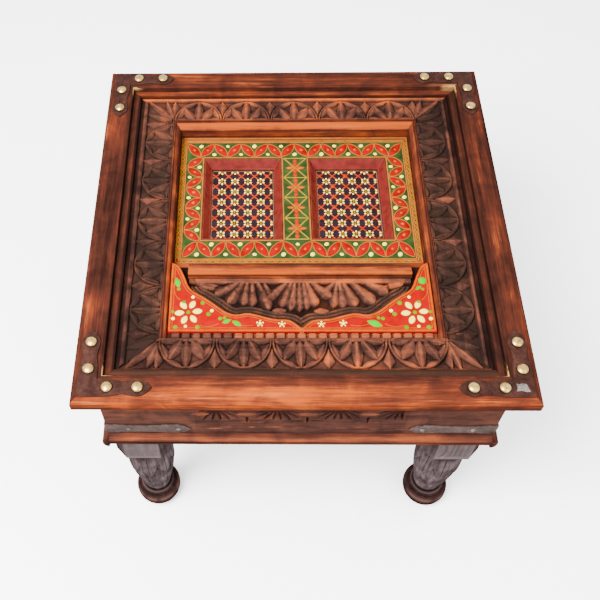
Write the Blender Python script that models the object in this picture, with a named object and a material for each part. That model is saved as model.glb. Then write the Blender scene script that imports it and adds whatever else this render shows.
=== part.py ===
"""Square coffee table with a sunk carved and painted panel in its top.

The frame of the top is four mitred rails with iron corner straps and brass nails. Inside it a tray
holds a carved frame, a painted panel with two blind windows, a sill, a fan panel and a scalloped
board. Below are a carved apron, a base moulding and four carved legs. Front is -Y, up is +Z.
"""
import math

import bmesh
import bpy
from mathutils import Matrix, Vector
from mathutils.geometry import delaunay_2d_cdt

# Driving dimensions, in metres
TABLE_SIDE = 0.610
TABLE_HEIGHT = 0.500
CLEARANCE = 0.0003

# Top rails, with a rounded nosing outside and a rebate inside
RAIL_TOP_WIDTH = 0.040
RAIL_THICKNESS = 0.022
NOSING_WIDTH = 0.011
NOSING_DROP = 0.008
LEDGE_WIDTH = 0.013
REBATE_DEPTH = 0.009

# Iron corner straps and brass nails on the rails
STRAP_THICKNESS = 0.002
STRAP_CENTRE = 0.0215
STRAP_LOBE = 0.0125
STRAP_NECK = 0.0095
STRAP_LENGTH = 0.107
STRAP_STEPS = 14
NAIL_FIRST = 0.048
NAIL_PITCH = 0.040
NAIL_HEAD_RADIUS = 0.008
NAIL_HEAD_HEIGHT = 0.005
NAIL_RIM = 0.0008
NAIL_SHANK_RADIUS = 0.0015
NAIL_SHANK_LENGTH = 0.014
NAIL_SIDES = 10

# Heights in the tray, as drops below the top of the rails
CARVING_DROP = 0.011
MOULDING_LIP_DROP = 0.012
MOULDING_FOOT_DROP = 0.020
PANEL_DROP = 0.036
WINDOW_DROP = 0.053
TRAY_DROP = 0.060
TRAY_THICKNESS = 0.009
FAN_DROP = 0.020
SILL_HEIGHT = 0.008
SCALLOP_THICKNESS = 0.008

# Widths in the tray, in plan
SIDE_FRAME_WIDTH = 0.0565
END_FRAME_WIDTH = 0.0487
SIDE_BEAD_ZONE = 0.0115
END_BEAD_ZONE = 0.0060
BEAD_WIDTH = 0.0060
BEAD_DROP = 0.003
SIDE_MOULDING_WIDTH = 0.011
BACK_MOULDING_WIDTH = 0.016
MOULDING_FLAT = 0.003
DENTIL_WIDTH = 0.010
DENTIL_PITCH = 0.0144
DENTIL_NOTCH = 0.003
DENTIL_DEPTH = 0.005
FAN_PANEL_DEPTH = 0.1167
SILL_WIDTH = 0.025
SILL_END_GAP = 0.024
SILL_ROUND = 0.0045

# Palmettes of the carved frame
PALMETTE_PERIOD = 0.078
PALMETTE_HALF_WIDTH = 0.0365
PALMETTE_DEPTH = 0.039
PALMETTE_MARGIN = 0.002
PALMETTE_ANGLES = (-70, -36, 0, 36, 70)
PALMETTE_LEAF_WIDTH = 0.0108
CARVING_DEPTH = 0.005
CARVING_SLOPE = 0.0022
SPANDREL_LENGTH = 0.015
SPANDREL_WIDTH = 0.009
CORNER_LEAF_LENGTH = 0.044
CORNER_LEAF_ANGLE = 33
CORNER_LEAF_WIDTH = 0.007

# Fans of the fan panel
FAN_PERIOD = 0.0665
FAN_HALF_WIDTH = 0.0322
FAN_DEPTH = 0.044
FAN_MARGIN = 0.0056
FAN_ANGLES = (-75, -50, -25, 0, 25, 50, 75)
FAN_PETAL_WIDTH = 0.0085
FAN_CARVING_DEPTH = 0.008
FAN_SIDE_MARGIN = 0.016

# Painted panel and its two blind windows
WINDOW_STILE = 0.0395
WINDOW_MULLION = 0.044
WINDOW_HEAD = 0.046
WINDOW_FOOT = 0.0558
REVEAL_WIDTH = 0.0115
REVEAL_LIP = 0.0015
REVEAL_STEP = 0.003

# Scalloped board: reach of its points from the sides or half their gap, and height over its front
SCALLOP_TIP_HEIGHT = 0.1155
SCALLOP_SHOULDER_REACH = 0.0115
SCALLOP_SHOULDER_HEIGHT = 0.1075
SCALLOP_FLANK_REACH = 0.0195
SCALLOP_FLANK_HEIGHT = 0.0910
SCALLOP_HOLLOW_REACH = 0.0290
SCALLOP_HOLLOW_HEIGHT = 0.0697
SCALLOP_WAIST_REACH = 0.0470
SCALLOP_WAIST_HEIGHT = 0.0570
SCALLOP_LOBE_REACH = 0.0625
SCALLOP_LOBE_HEIGHT = 0.0455
SCALLOP_HEEL_REACH = 0.0775
SCALLOP_HEEL_HEIGHT = 0.0333
SCALLOP_DIP_REACH = 0.0925
SCALLOP_DIP_HEIGHT = 0.0277
SCALLOP_CREST_REACH = 0.1125
SCALLOP_CREST_HEIGHT = 0.0298
SCALLOP_SLOPE_HALF = 0.0391
SCALLOP_SLOPE_HEIGHT = 0.0209
SCALLOP_BROW_HALF = 0.0159
SCALLOP_BROW_HEIGHT = 0.0187
SCALLOP_CUSP_HEIGHT = 0.0055
SCALLOP_STEPS = 3

# Apron, base moulding and the straps round the apron's corners
APRON_SETBACK = 0.027
APRON_THICKNESS = 0.018
APRON_DROP = 0.187
BASE_MOULDING_HEIGHT = 0.029
BASE_MOULDING_REACH = 0.009
BASE_MOULDING_STEPS = 8
APRON_STRAP_THICKNESS = 0.0015
APRON_STRAP_LENGTH = 0.123
APRON_STRAP_LOBE = 0.0140
APRON_STRAP_NECK = 0.0105
APRON_STRAP_LIFT = 0.018
APRON_STRAP_NAIL = 0.104
APRON_STRAP_STEPS = 12
FRIEZE_HALF_LENGTH = 0.141
FRIEZE_DROP = 0.080
ROSETTE_PERIOD = 0.085
ROSETTE_RADIUS = 0.036
ROSETTE_HUB = 0.004
ROSETTE_PETALS = 8
ROSETTE_PETAL_WIDTH = 0.0105
ROSETTE_DEPTH = 0.004
LENS_LENGTH = 0.030
LENS_WIDTH = 0.009

# Legs
LEG_INSET = 0.069
POST_SIDE = 0.044
BLOCK_HALF = 0.043
BLOCK_CHAMFER = 0.0165
BLOCK_HEIGHT = 0.066
BLOCK_FOOT = 0.006
VASE_TOP_RADIUS = 0.0335
VASE_RADIUS = 0.0385
VASE_BULGE_HEIGHT = 0.165
NECK_RADIUS = 0.0235
NECK_HEIGHT = 0.056
FOOT_RADIUS = 0.038
FOOT_BASE_RADIUS = 0.030
FOOT_MIDDLE = 0.022
PETAL_RELIEF = 0.0016

# Colour, roughness and metallic value of each finish
FINISHES = {
    "rail_wood": ((0.230, 0.070, 0.030), 0.40, 0.0),
    "carved_wood": ((0.130, 0.045, 0.025), 0.42, 0.0),
    "apron_wood": ((0.170, 0.055, 0.025), 0.42, 0.0),
    "leg_wood": ((0.120, 0.070, 0.060), 0.50, 0.0),
    "bare_wood": ((0.420, 0.300, 0.200), 0.70, 0.0),
    "iron": ((0.075, 0.050, 0.048), 0.45, 0.9),
    "brass": ((0.780, 0.620, 0.340), 0.25, 1.0),
    "green_paint": ((0.040, 0.150, 0.025), 0.35, 0.0),
    "maroon_paint": ((0.290, 0.030, 0.028), 0.35, 0.0),
    "navy_paint": ((0.018, 0.012, 0.030), 0.35, 0.0),
    "red_paint": ((0.800, 0.030, 0.018), 0.35, 0.0),
}

# Places worked out from the sizes above
HALF = TABLE_SIDE / 2
REBATE_HALF = HALF - RAIL_TOP_WIDTH
LEDGE_HALF = REBATE_HALF - LEDGE_WIDTH
FRAME_HALF = LEDGE_HALF - CLEARANCE
INNER_HALF_X = FRAME_HALF - SIDE_FRAME_WIDTH
INNER_HALF_Y = FRAME_HALF - END_FRAME_WIDTH
WELL_HALF = INNER_HALF_X - SIDE_MOULDING_WIDTH
WELL_BACK = INNER_HALF_Y - BACK_MOULDING_WIDTH
BOARD_HALF = WELL_HALF - CLEARANCE
BOARD_FRONT = -INNER_HALF_Y + DENTIL_WIDTH + CLEARANCE
FAN_PANEL_BACK = BOARD_FRONT + FAN_PANEL_DEPTH
PANEL_FRONT = FAN_PANEL_BACK + CLEARANCE
PANEL_BACK = WELL_BACK - CLEARANCE
SILL_FRONT = FAN_PANEL_BACK - SILL_WIDTH
APRON_HALF = HALF - APRON_SETBACK
APRON_TOP = TABLE_HEIGHT - RAIL_THICKNESS - CLEARANCE
APRON_BOTTOM = TABLE_HEIGHT - APRON_DROP
TRAY_TOP = TABLE_HEIGHT - TRAY_DROP
SEAT = TRAY_TOP + CLEARANCE
LEG_CENTRE = HALF - LEG_INSET
MITRE_GAP = CLEARANCE * 0.75
TURNS = {"front": 0.0, "right": math.pi / 2, "back": math.pi, "left": -math.pi / 2}
CORNERS = {"front_right": 0.0, "back_right": math.pi / 2,
           "back_left": math.pi, "front_left": -math.pi / 2}


def clear_scene():
    for old in list(bpy.data.objects):
        bpy.data.objects.remove(old, do_unlink=True)


def finish_material(finish):
    """Principled material for one of the table's finishes, made once."""
    material = bpy.data.materials.get(finish)
    if material:
        return material
    colour, roughness, metallic = FINISHES[finish]
    material = bpy.data.materials.new(finish)
    material.use_nodes = True
    shader = material.node_tree.nodes["Principled BSDF"]
    shader.inputs["Base Color"].default_value = (*colour, 1.0)
    shader.inputs["Roughness"].default_value = roughness
    shader.inputs["Metallic"].default_value = metallic
    return material


def make_piece(name, shape, finish, table, place=None):
    """Turn a shape (vertices, faces) into a named object under the table's empty."""
    vertices, faces = shape
    mesh = bpy.data.meshes.new(name)
    mesh.from_pydata([tuple(v) for v in vertices], [], faces)
    work = bmesh.new()
    work.from_mesh(mesh)
    bmesh.ops.recalc_face_normals(work, faces=work.faces)
    work.to_mesh(mesh)
    work.free()
    mesh.materials.append(finish_material(finish))
    piece = bpy.data.objects.new(name, mesh)
    bpy.context.scene.collection.objects.link(piece)
    piece.parent = table
    if place:
        piece.matrix_local = place
    return piece


def turned_to(angle):
    return Matrix.Rotation(angle, 4, "Z")


def box(low, high):
    """Rectangular block between two corners."""
    return prism([(low[0], low[1]), (high[0], low[1]), (high[0], high[1]), (low[0], high[1])],
                 low[2], high[2])


def prism(outline, low, high):
    """Upright prism over a plan outline."""
    count = len(outline)
    vertices = [(x, y, low) for x, y in outline] + [(x, y, high) for x, y in outline]
    faces = [list(range(count))[::-1], list(range(count, 2 * count))]
    for i in range(count):
        j = (i + 1) % count
        faces.append([i, j, count + j, count + i])
    return vertices, faces


def loft(rings):
    """Solid through rings of equal count, closed at both ends."""
    count = len(rings[0])
    vertices = [point for ring in rings for point in ring]
    faces = [list(range(count))[::-1], list(range(len(vertices) - count, len(vertices)))]
    for k in range(len(rings) - 1):
        for i in range(count):
            j = (i + 1) % count
            low, high = k * count, (k + 1) * count
            faces.append([low + i, low + j, high + j, high + i])
    return vertices, faces


def mitred_member(profile, half):
    """Front member of a square frame: profile of (inset from the outside, height), mitred ends."""
    rings = []
    for side in (-1, 1):
        rings.append([(side * (half - inset - MITRE_GAP), inset - half, height)
                      for inset, height in profile])
    return loft(rings)


def quarter_arc(start, end, steps, bulge_first):
    """Quarter of an ellipse between two points; bulge_first leaves start along the second axis."""
    points = []
    for i in range(steps + 1):
        turn = math.pi / 2 * i / steps
        along, across = 1 - math.cos(turn), math.sin(turn)
        if not bulge_first:
            along, across = across, along
        points.append((start[0] + (end[0] - start[0]) * along,
                       start[1] + (end[1] - start[1]) * across))
    return points


def smooth_path(knots, steps):
    """Smooth curve through knots, with the same number of steps between each two of them."""
    ends = [knots[0]] + list(knots) + [knots[-1]]
    points = []
    for before, here, ahead, after in zip(ends, ends[1:], ends[2:], ends[3:]):
        for i in range(steps):
            t = i / steps
            point = []
            for a, b, c, d in zip(before, here, ahead, after):
                leave, arrive = (c - a) / 2, (d - b) / 2
                point.append(b + leave * t + (3 * (c - b) - 2 * leave - arrive) * t ** 2
                             + (2 * (b - c) + leave + arrive) * t ** 3)
            points.append(tuple(point))
    return points + [knots[-1]]


def carved_slab(outline, features, base, base_outline=None):
    """Slab with a carved upper face.

    outline holds (x, y, z) round the upper face. features are (path, closed) lines on it with
    their own heights. The face between them is triangulated, and walls go down to a flat base.
    """
    points, heights, edges = [], [], []

    def add_path(path, closed):
        first, count = len(points), len(path)
        for x, y, z in path:
            points.append(Vector((x, y)))
            heights.append(z)
        for i in range(count if closed else count - 1):
            edges.append((first + i, first + (i + 1) % count))

    add_path(outline, True)
    for path, closed in features:
        add_path(path, closed)
    flat, _, triangles, sources, _, _ = delaunay_2d_cdt(points, edges, [], 1, 1e-6)
    lowest = min(heights)
    vertices = [(p.x, p.y, heights[s[0]] if s else lowest) for p, s in zip(flat, sources)]
    faces = [list(t) for t in triangles]
    place = {source: i for i, group in enumerate(sources) for source in group}
    rim = [place[i] for i in range(len(outline))]
    first = len(vertices)
    for x, y in base_outline or [(p[0], p[1]) for p in outline]:
        vertices.append((x, y, base))
    count = len(rim)
    for i in range(count):
        j = (i + 1) % count
        faces.append([rim[i], first + i, first + j, rim[j]])
    faces.append([first + i for i in range(count)][::-1])
    return vertices, faces


def pierced_plate(outline, holes, low, high):
    """Flat plate with holes: outline and holes are plan loops."""
    points, edges, loops = [], [], []
    for loop in [outline] + holes:
        first, count = len(points), len(loop)
        points += [Vector(p) for p in loop]
        edges += [(first + i, first + (i + 1) % count) for i in range(count)]
        loops.append([first + i for i in range(count)])
    flat, _, triangles, sources, _, _ = delaunay_2d_cdt(points, edges, [], 1, 1e-7)
    place = {source: i for i, group in enumerate(sources) for source in group}
    kept = []
    for triangle in triangles:
        centre = sum((flat[i] for i in triangle), Vector((0, 0))) / 3
        if not any(inside(centre, hole) for hole in holes):
            kept.append(list(triangle))
    count = len(flat)
    vertices = [(p.x, p.y, high) for p in flat] + [(p.x, p.y, low) for p in flat]
    faces = kept + [[i + count for i in t][::-1] for t in kept]
    for loop in loops:
        ring = [place[i] for i in loop]
        for a, b in zip(ring, ring[1:] + ring[:1]):
            faces.append([a, a + count, b + count, b])
    return vertices, faces


def inside(point, loop):
    """Whether a plan point lies inside a loop, by counting crossings."""
    found = False
    for (ax, ay), (bx, by) in zip(loop, loop[1:] + loop[:1]):
        if (ay > point.y) != (by > point.y):
            if point.x < ax + (point.y - ay) * (bx - ax) / (by - ay):
                found = not found
    return found


def circle(centre, radius, sides):
    return [(centre[0] + radius * math.cos(2 * math.pi * i / sides),
             centre[1] + radius * math.sin(2 * math.pi * i / sides)) for i in range(sides)]


def leaf(hub, degrees, start, end, width, rim, crest):
    """Pointed leaf on a line out of hub: its closed rim, and the crest or valley inside it."""
    turn = math.radians(degrees)
    along = Vector((math.sin(turn), -math.cos(turn)))
    across = Vector((-along.y, along.x))

    def at(part, side, height):
        point = hub + along * (start + (end - start) * part) + across * (side * width / 2)
        return point.x, point.y, height

    edge = [at(0, 0, rim), at(0.4, 0.7, rim), at(0.72, 0.95, rim),
            at(1, 0, rim), at(0.72, -0.95, rim), at(0.4, -0.7, rim)]
    middle = [edge[0], at(0.4, 0, crest), at(0.75, 0, crest), edge[3]]
    return [(edge, True), (middle, False)]


def bowl_reach(half_width, depth, degrees):
    """How far a U-shaped bowl goes from its hub, at an angle from straight down."""
    turn = math.radians(degrees)
    return 1 / math.hypot(math.sin(turn) / half_width, math.cos(turn) / depth)


def bowl(hub, half_width, depth, rim, floor):
    """U-shaped hollow below hub, with sloped walls, as a rim and a floor line."""
    features = []
    for inset, height in ((0.0, rim), (CARVING_SLOPE, floor)):
        path = []
        for i in range(11):
            turn = math.pi * i / 10
            path.append((hub.x - (half_width - inset) * math.cos(turn),
                         hub.y - inset - (depth - 2 * inset) * math.sin(turn), height))
        features.append((path, True))
    return features


def palmette(hub, half_width, depth, angles, width, rim, floor):
    """Bowl with raised leaves that spread from its hub."""
    features = bowl(hub, half_width, depth, rim, floor)
    root = hub + Vector((0, -2 * CARVING_SLOPE))
    for degrees in angles:
        reach = bowl_reach(half_width - 2 * CARVING_SLOPE, depth - 4 * CARVING_SLOPE, degrees)
        features += leaf(root, degrees, 0.006, reach, width, floor, rim)
    return features


def centred_places(room, period):
    """Centres of as many equal parts as fit in a length, spread about its middle."""
    count = int(room / period + 1e-6)
    return [(i - (count - 1) / 2) * period for i in range(count)]


def rail_profile():
    top, bottom = TABLE_HEIGHT, TABLE_HEIGHT - RAIL_THICKNESS
    profile = [(0, bottom)]
    profile += quarter_arc((0, top - NOSING_DROP), (NOSING_WIDTH, top), 4, True)
    profile += [(RAIL_TOP_WIDTH, top), (RAIL_TOP_WIDTH, top - REBATE_DEPTH)]
    ledge = RAIL_TOP_WIDTH + LEDGE_WIDTH
    return profile + [(ledge, top - REBATE_DEPTH), (ledge, bottom)]


def nail_reaches():
    return (NAIL_FIRST, NAIL_FIRST + NAIL_PITCH)


def make_rails(table):
    """Four mitred rails, each drilled for the shanks of its nails."""
    for side, turn in TURNS.items():
        place = turned_to(turn)
        rail = make_piece("top_rail_" + side, mitred_member(rail_profile(), HALF),
                          "rail_wood", table, place)
        vertices, faces = [], []
        for reach in nail_reaches():
            for end in (-1, 1):
                centre = (end * (HALF - reach), STRAP_CENTRE - HALF)
                hole = prism(circle(centre, NAIL_SHANK_RADIUS + CLEARANCE, NAIL_SIDES),
                             TABLE_HEIGHT - NAIL_SHANK_LENGTH, TABLE_HEIGHT + NAIL_RIM)
                faces += [[i + len(vertices) for i in face] for face in hole[1]]
                vertices += hole[0]
        cutter = make_piece("nail_holes_" + side, (vertices, faces), "rail_wood", table, place)
        cutter.hide_render = True
        cutter.display_type = "WIRE"
        cut = rail.modifiers.new("nail_holes", "BOOLEAN")
        cut.operation = "DIFFERENCE"
        cut.solver = "EXACT"
        cut.object = cutter


def strap_half_width(reach):
    """Half width of a corner strap at a distance from the table's corner."""
    last = NAIL_FIRST + NAIL_PITCH
    if reach <= NAIL_FIRST:
        return STRAP_LOBE
    if reach <= last:
        wave = math.cos(math.pi * (reach - NAIL_FIRST) / NAIL_PITCH) ** 2
        return STRAP_NECK + (STRAP_LOBE - STRAP_NECK) * wave
    return STRAP_LOBE * math.cos(math.pi / 2 * (reach - last) / (STRAP_LENGTH - last)) ** 0.8


def strap_outline():
    """Plan of the front right strap, both legs, with the table's corner at the origin."""
    reaches = [NAIL_FIRST + (STRAP_LENGTH - NAIL_FIRST) * i / STRAP_STEPS
               for i in range(STRAP_STEPS)]
    outer = [(-r, STRAP_CENTRE - strap_half_width(r)) for r in reaches]
    inner = [(-r, STRAP_CENTRE + strap_half_width(r)) for r in reaches]
    tip = [(-STRAP_LENGTH, STRAP_CENTRE)]
    near = STRAP_CENTRE - STRAP_LOBE
    far = STRAP_CENTRE + STRAP_LOBE
    long_leg = outer + tip + inner[::-1]
    other_leg = [(-y, -x) for x, y in long_leg][::-1]
    return [(-near, near)] + long_leg + [(-far, far)] + other_leg


def make_straps_and_nails(table):
    """Iron strap over each mitre, held by four domed nails."""
    low = TABLE_HEIGHT + CLEARANCE
    high = low + STRAP_THICKNESS
    shift = Vector((HALF, -HALF))
    outline = [tuple(Vector(p) + shift) for p in strap_outline()]
    centres = []
    for reach in nail_reaches():
        centres.append((HALF - reach, STRAP_CENTRE - HALF))
        centres.append((HALF - STRAP_CENTRE, reach - HALF))
    holes = [circle(c, NAIL_SHANK_RADIUS + CLEARANCE, NAIL_SIDES) for c in centres]
    for corner, turn in CORNERS.items():
        place = turned_to(turn)
        make_piece("corner_strap_" + corner, pierced_plate(outline, holes, low, high),
                   "iron", table, place)
        for number, centre in enumerate(centres, 1):
            name = "brass_nail_%s_%d" % (corner, number)
            spot = place @ Matrix.Translation((*centre, high + CLEARANCE))
            make_piece(name, nail_shape(), "brass", table, spot)


def nail_shape():
    """Domed nail, with the underside of its head at the origin."""
    shank = NAIL_SHANK_LENGTH - STRAP_THICKNESS - 4 * CLEARANCE
    rings = [(NAIL_SHANK_RADIUS, -shank), (NAIL_SHANK_RADIUS, 0), (NAIL_HEAD_RADIUS, 0)]
    dome = NAIL_HEAD_HEIGHT - NAIL_RIM
    for degrees in (0, 35, 68):
        turn = math.radians(degrees)
        rings.append((NAIL_HEAD_RADIUS * math.cos(turn), NAIL_RIM + dome * math.sin(turn)))
    vertices, faces = loft([[(x, y, height) for x, y in circle((0, 0), radius, NAIL_SIDES)]
                            for radius, height in rings])
    crown = len(vertices)
    vertices.append((0, 0, NAIL_HEAD_HEIGHT))
    cap = faces.pop(1)
    faces += [[a, b, crown] for a, b in zip(cap, cap[1:] + cap[:1])]
    return vertices, faces


def frame_board(outer_half, inner_half, width, bead_zone):
    """Front board of the carved frame: palmettes, spandrel chips and a bead outside."""
    top = TABLE_HEIGHT - CARVING_DROP
    floor = top - CARVING_DEPTH
    low = top - BEAD_DROP
    groove = bead_zone - BEAD_WIDTH
    lines = [(0.0, low)]
    if groove > CLEARANCE:
        lines.append((groove, low))
    lines += [(bead_zone - BEAD_WIDTH / 2, top), (bead_zone - CLEARANCE, low), (bead_zone, top),
              (width, top)]

    def run(distance):
        return outer_half + (inner_half - outer_half) * distance / width - MITRE_GAP

    right = [(run(d), d - FRAME_HALF, z) for d, z in lines]
    left = [(-x, y, z) for x, y, z in right[::-1]]
    features = [([(-x, y, z), (x, y, z)], False) for x, y, z in right[1:-1]]
    hub_line = width - FRAME_HALF - PALMETTE_MARGIN
    places = centred_places(2 * inner_half, PALMETTE_PERIOD)
    for x in places:
        features += palmette(Vector((x, hub_line)), PALMETTE_HALF_WIDTH, PALMETTE_DEPTH,
                             PALMETTE_ANGLES, PALMETTE_LEAF_WIDTH, top, floor)
    foot = bead_zone - FRAME_HALF + CARVING_SLOPE
    for x in places[:-1]:
        middle = Vector((x + PALMETTE_PERIOD / 2, foot))
        features += leaf(middle, 180, 0, SPANDREL_LENGTH, SPANDREL_WIDTH, top, floor)
    for side in (-1, 1):
        corner = Vector((side * inner_half, width - FRAME_HALF))
        features += leaf(corner, side * CORNER_LEAF_ANGLE, 0.010, CORNER_LEAF_LENGTH,
                         CORNER_LEAF_WIDTH, top, floor)
    return carved_slab(left + right, features, SEAT)


def make_carved_frame(table):
    for side, turn in TURNS.items():
        if side in ("front", "back"):
            shape = frame_board(FRAME_HALF, INNER_HALF_X, END_FRAME_WIDTH, END_BEAD_ZONE)
        else:
            shape = frame_board(FRAME_HALF, INNER_HALF_Y, SIDE_FRAME_WIDTH, SIDE_BEAD_ZONE)
        make_piece("carved_frame_" + side, shape, "carved_wood", table, turned_to(turn))


def moulding_profile(width):
    """Section of an inner moulding: distance in from the carved frame, and height."""
    lip = TABLE_HEIGHT - MOULDING_LIP_DROP
    foot = TABLE_HEIGHT - MOULDING_FOOT_DROP
    slope = quarter_arc((MOULDING_FLAT, lip), (width, foot), 4, False)
    return [(CLEARANCE, SEAT), (CLEARANCE, lip)] + slope + [(width, SEAT)]


def make_inner_mouldings(table):
    """Mouldings round the back and sides of the well, mitred at the back."""
    rings = []
    for side in (-1, 1):
        rings.append([(side * (INNER_HALF_X - part * SIDE_MOULDING_WIDTH / BACK_MOULDING_WIDTH
                               - MITRE_GAP), INNER_HALF_Y - part, height)
                      for part, height in moulding_profile(BACK_MOULDING_WIDTH)])
    make_piece("inner_moulding_back", loft(rings), "rail_wood", table)
    for name, side in (("left", -1), ("right", 1)):
        profile = moulding_profile(SIDE_MOULDING_WIDTH)
        front = [(side * (INNER_HALF_X - part), CLEARANCE - INNER_HALF_Y, height)
                 for part, height in profile]
        back = [(side * (INNER_HALF_X - part), INNER_HALF_Y - MITRE_GAP
                 - part * BACK_MOULDING_WIDTH / SIDE_MOULDING_WIDTH, height)
                for part, height in profile]
        make_piece("inner_moulding_" + name, loft([front, back]), "rail_wood", table)


def window_bounds(side):
    """Plan corners of the left (-1) or right (1) window opening."""
    near = WINDOW_MULLION / 2
    far = BOARD_HALF - WINDOW_STILE
    low_x, high_x = (near, far) if side > 0 else (-far, -near)
    return (low_x, PANEL_FRONT + WINDOW_FOOT), (high_x, PANEL_BACK - WINDOW_HEAD)


def rectangle(low, high, inset=0.0):
    return [(low[0] + inset, low[1] + inset), (high[0] - inset, low[1] + inset),
            (high[0] - inset, high[1] - inset), (low[0] + inset, high[1] - inset)]


def reveal_shape(low, high):
    """Bevelled frame that lines a window opening, on top of the lattice board."""
    top = TABLE_HEIGHT - PANEL_DROP
    seat = TABLE_HEIGHT - WINDOW_DROP + CLEARANCE
    section = [(CLEARANCE, seat), (CLEARANCE, top), (CLEARANCE + REVEAL_LIP, top),
               (REVEAL_WIDTH - REVEAL_LIP, seat + REVEAL_STEP),
               (REVEAL_WIDTH, seat + REVEAL_STEP), (REVEAL_WIDTH, seat)]
    vertices, faces = [], []
    for inset, height in section:
        vertices += [(x, y, height) for x, y in rectangle(low, high, inset)]
    rows = len(section)
    for k in range(rows):
        for i in range(4):
            a, b = 4 * k, 4 * ((k + 1) % rows)
            j = (i + 1) % 4
            faces.append([a + i, a + j, b + j, b + i])
    return vertices, faces


def make_painted_panel(table):
    """Painted board with two openings, their bevelled reveals and the boards behind them."""
    openings = [rectangle(*window_bounds(side)) for side in (-1, 1)]
    outline = rectangle((-BOARD_HALF, PANEL_FRONT), (BOARD_HALF, PANEL_BACK))
    shape = pierced_plate(outline, openings, SEAT, TABLE_HEIGHT - PANEL_DROP)
    make_piece("painted_panel", shape, "green_paint", table)
    for name, side in (("left", -1), ("right", 1)):
        low, high = window_bounds(side)
        make_piece("window_reveal_" + name, reveal_shape(low, high), "maroon_paint", table)
        board = rectangle(low, high, CLEARANCE)
        make_piece("window_lattice_" + name, prism(board, SEAT, TABLE_HEIGHT - WINDOW_DROP),
                   "navy_paint", table)


def make_fan_panel(table):
    """Board carved with fans, which also carries the sill and the scalloped board."""
    top = TABLE_HEIGHT - FAN_DROP - CLEARANCE
    floor = top - FAN_CARVING_DEPTH
    outline = [(x, y, top) for x, y in rectangle((-BOARD_HALF, BOARD_FRONT),
                                                 (BOARD_HALF, FAN_PANEL_BACK))]
    hub_line = SILL_FRONT - FAN_MARGIN
    features = []
    for x in centred_places(2 * (BOARD_HALF - FAN_SIDE_MARGIN), FAN_PERIOD):
        features += palmette(Vector((x, hub_line)), FAN_HALF_WIDTH, FAN_DEPTH, FAN_ANGLES,
                             FAN_PETAL_WIDTH, top, floor)
    make_piece("fan_panel", carved_slab(outline, features, SEAT), "carved_wood", table)


def make_sill(table):
    """Moulding on the back of the fan panel: it falls to the well and is round in front."""
    base = TABLE_HEIGHT - FAN_DROP
    lip = base + SILL_HEIGHT
    section = [(SILL_FRONT, base)]
    section += quarter_arc((SILL_FRONT, lip - SILL_ROUND), (SILL_FRONT + SILL_ROUND, lip), 3, True)
    section += [(SILL_FRONT + 2 * SILL_ROUND, lip), (FAN_PANEL_BACK, base + SILL_ROUND / 2),
                (FAN_PANEL_BACK, base)]
    half = BOARD_HALF - SILL_END_GAP
    rings = [[(side * half, y, height) for y, height in section] for side in (-1, 1)]
    make_piece("sill_moulding", loft(rings), "rail_wood", table)


def scallop_outline():
    """Plan of the scalloped board, from its front corners round its curved back edge."""
    from_side = ((0.0, SCALLOP_TIP_HEIGHT), (SCALLOP_SHOULDER_REACH, SCALLOP_SHOULDER_HEIGHT),
                 (SCALLOP_FLANK_REACH, SCALLOP_FLANK_HEIGHT),
                 (SCALLOP_HOLLOW_REACH, SCALLOP_HOLLOW_HEIGHT),
                 (SCALLOP_WAIST_REACH, SCALLOP_WAIST_HEIGHT),
                 (SCALLOP_LOBE_REACH, SCALLOP_LOBE_HEIGHT),
                 (SCALLOP_HEEL_REACH, SCALLOP_HEEL_HEIGHT), (SCALLOP_DIP_REACH, SCALLOP_DIP_HEIGHT),
                 (SCALLOP_CREST_REACH, SCALLOP_CREST_HEIGHT))
    from_middle = ((SCALLOP_SLOPE_HALF, SCALLOP_SLOPE_HEIGHT),
                   (SCALLOP_BROW_HALF, SCALLOP_BROW_HEIGHT), (0.0, SCALLOP_CUSP_HEIGHT))
    knots = [(BOARD_HALF - reach, BOARD_FRONT + height) for reach, height in from_side]
    knots += [(half, BOARD_FRONT + height) for half, height in from_middle]
    right = smooth_path(knots, SCALLOP_STEPS)
    left = [(-x, y) for x, y in right[-2::-1]]
    return [(-BOARD_HALF, BOARD_FRONT), (BOARD_HALF, BOARD_FRONT)] + right + left


def make_scalloped_board(table):
    base = TABLE_HEIGHT - FAN_DROP
    make_piece("scalloped_board", prism(scallop_outline(), base, base + SCALLOP_THICKNESS),
               "red_paint", table)


def make_dentil_strip(table):
    """Strip with a notch between each two blocks, between the side mouldings."""
    top = TABLE_HEIGHT - MOULDING_LIP_DROP
    section = [(BOARD_HALF, SEAT), (BOARD_HALF, top)]
    for x in centred_places(2 * BOARD_HALF - DENTIL_PITCH, DENTIL_PITCH)[::-1]:
        section += [(x + DENTIL_NOTCH / 2, top), (x, top - DENTIL_DEPTH),
                    (x - DENTIL_NOTCH / 2, top)]
    section += [(-BOARD_HALF, top), (-BOARD_HALF, SEAT)]
    front, back = CLEARANCE - INNER_HALF_Y, BOARD_FRONT - CLEARANCE
    rings = [[(x, y, height) for x, height in section] for y in (front, back)]
    make_piece("dentil_strip", loft(rings), "carved_wood", table)


def make_tray_bottom(table):
    half = APRON_HALF - APRON_THICKNESS - CLEARANCE
    make_piece("tray_bottom", box((-half, -half, TRAY_TOP - TRAY_THICKNESS),
                                  (half, half, TRAY_TOP)), "bare_wood", table)


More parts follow.
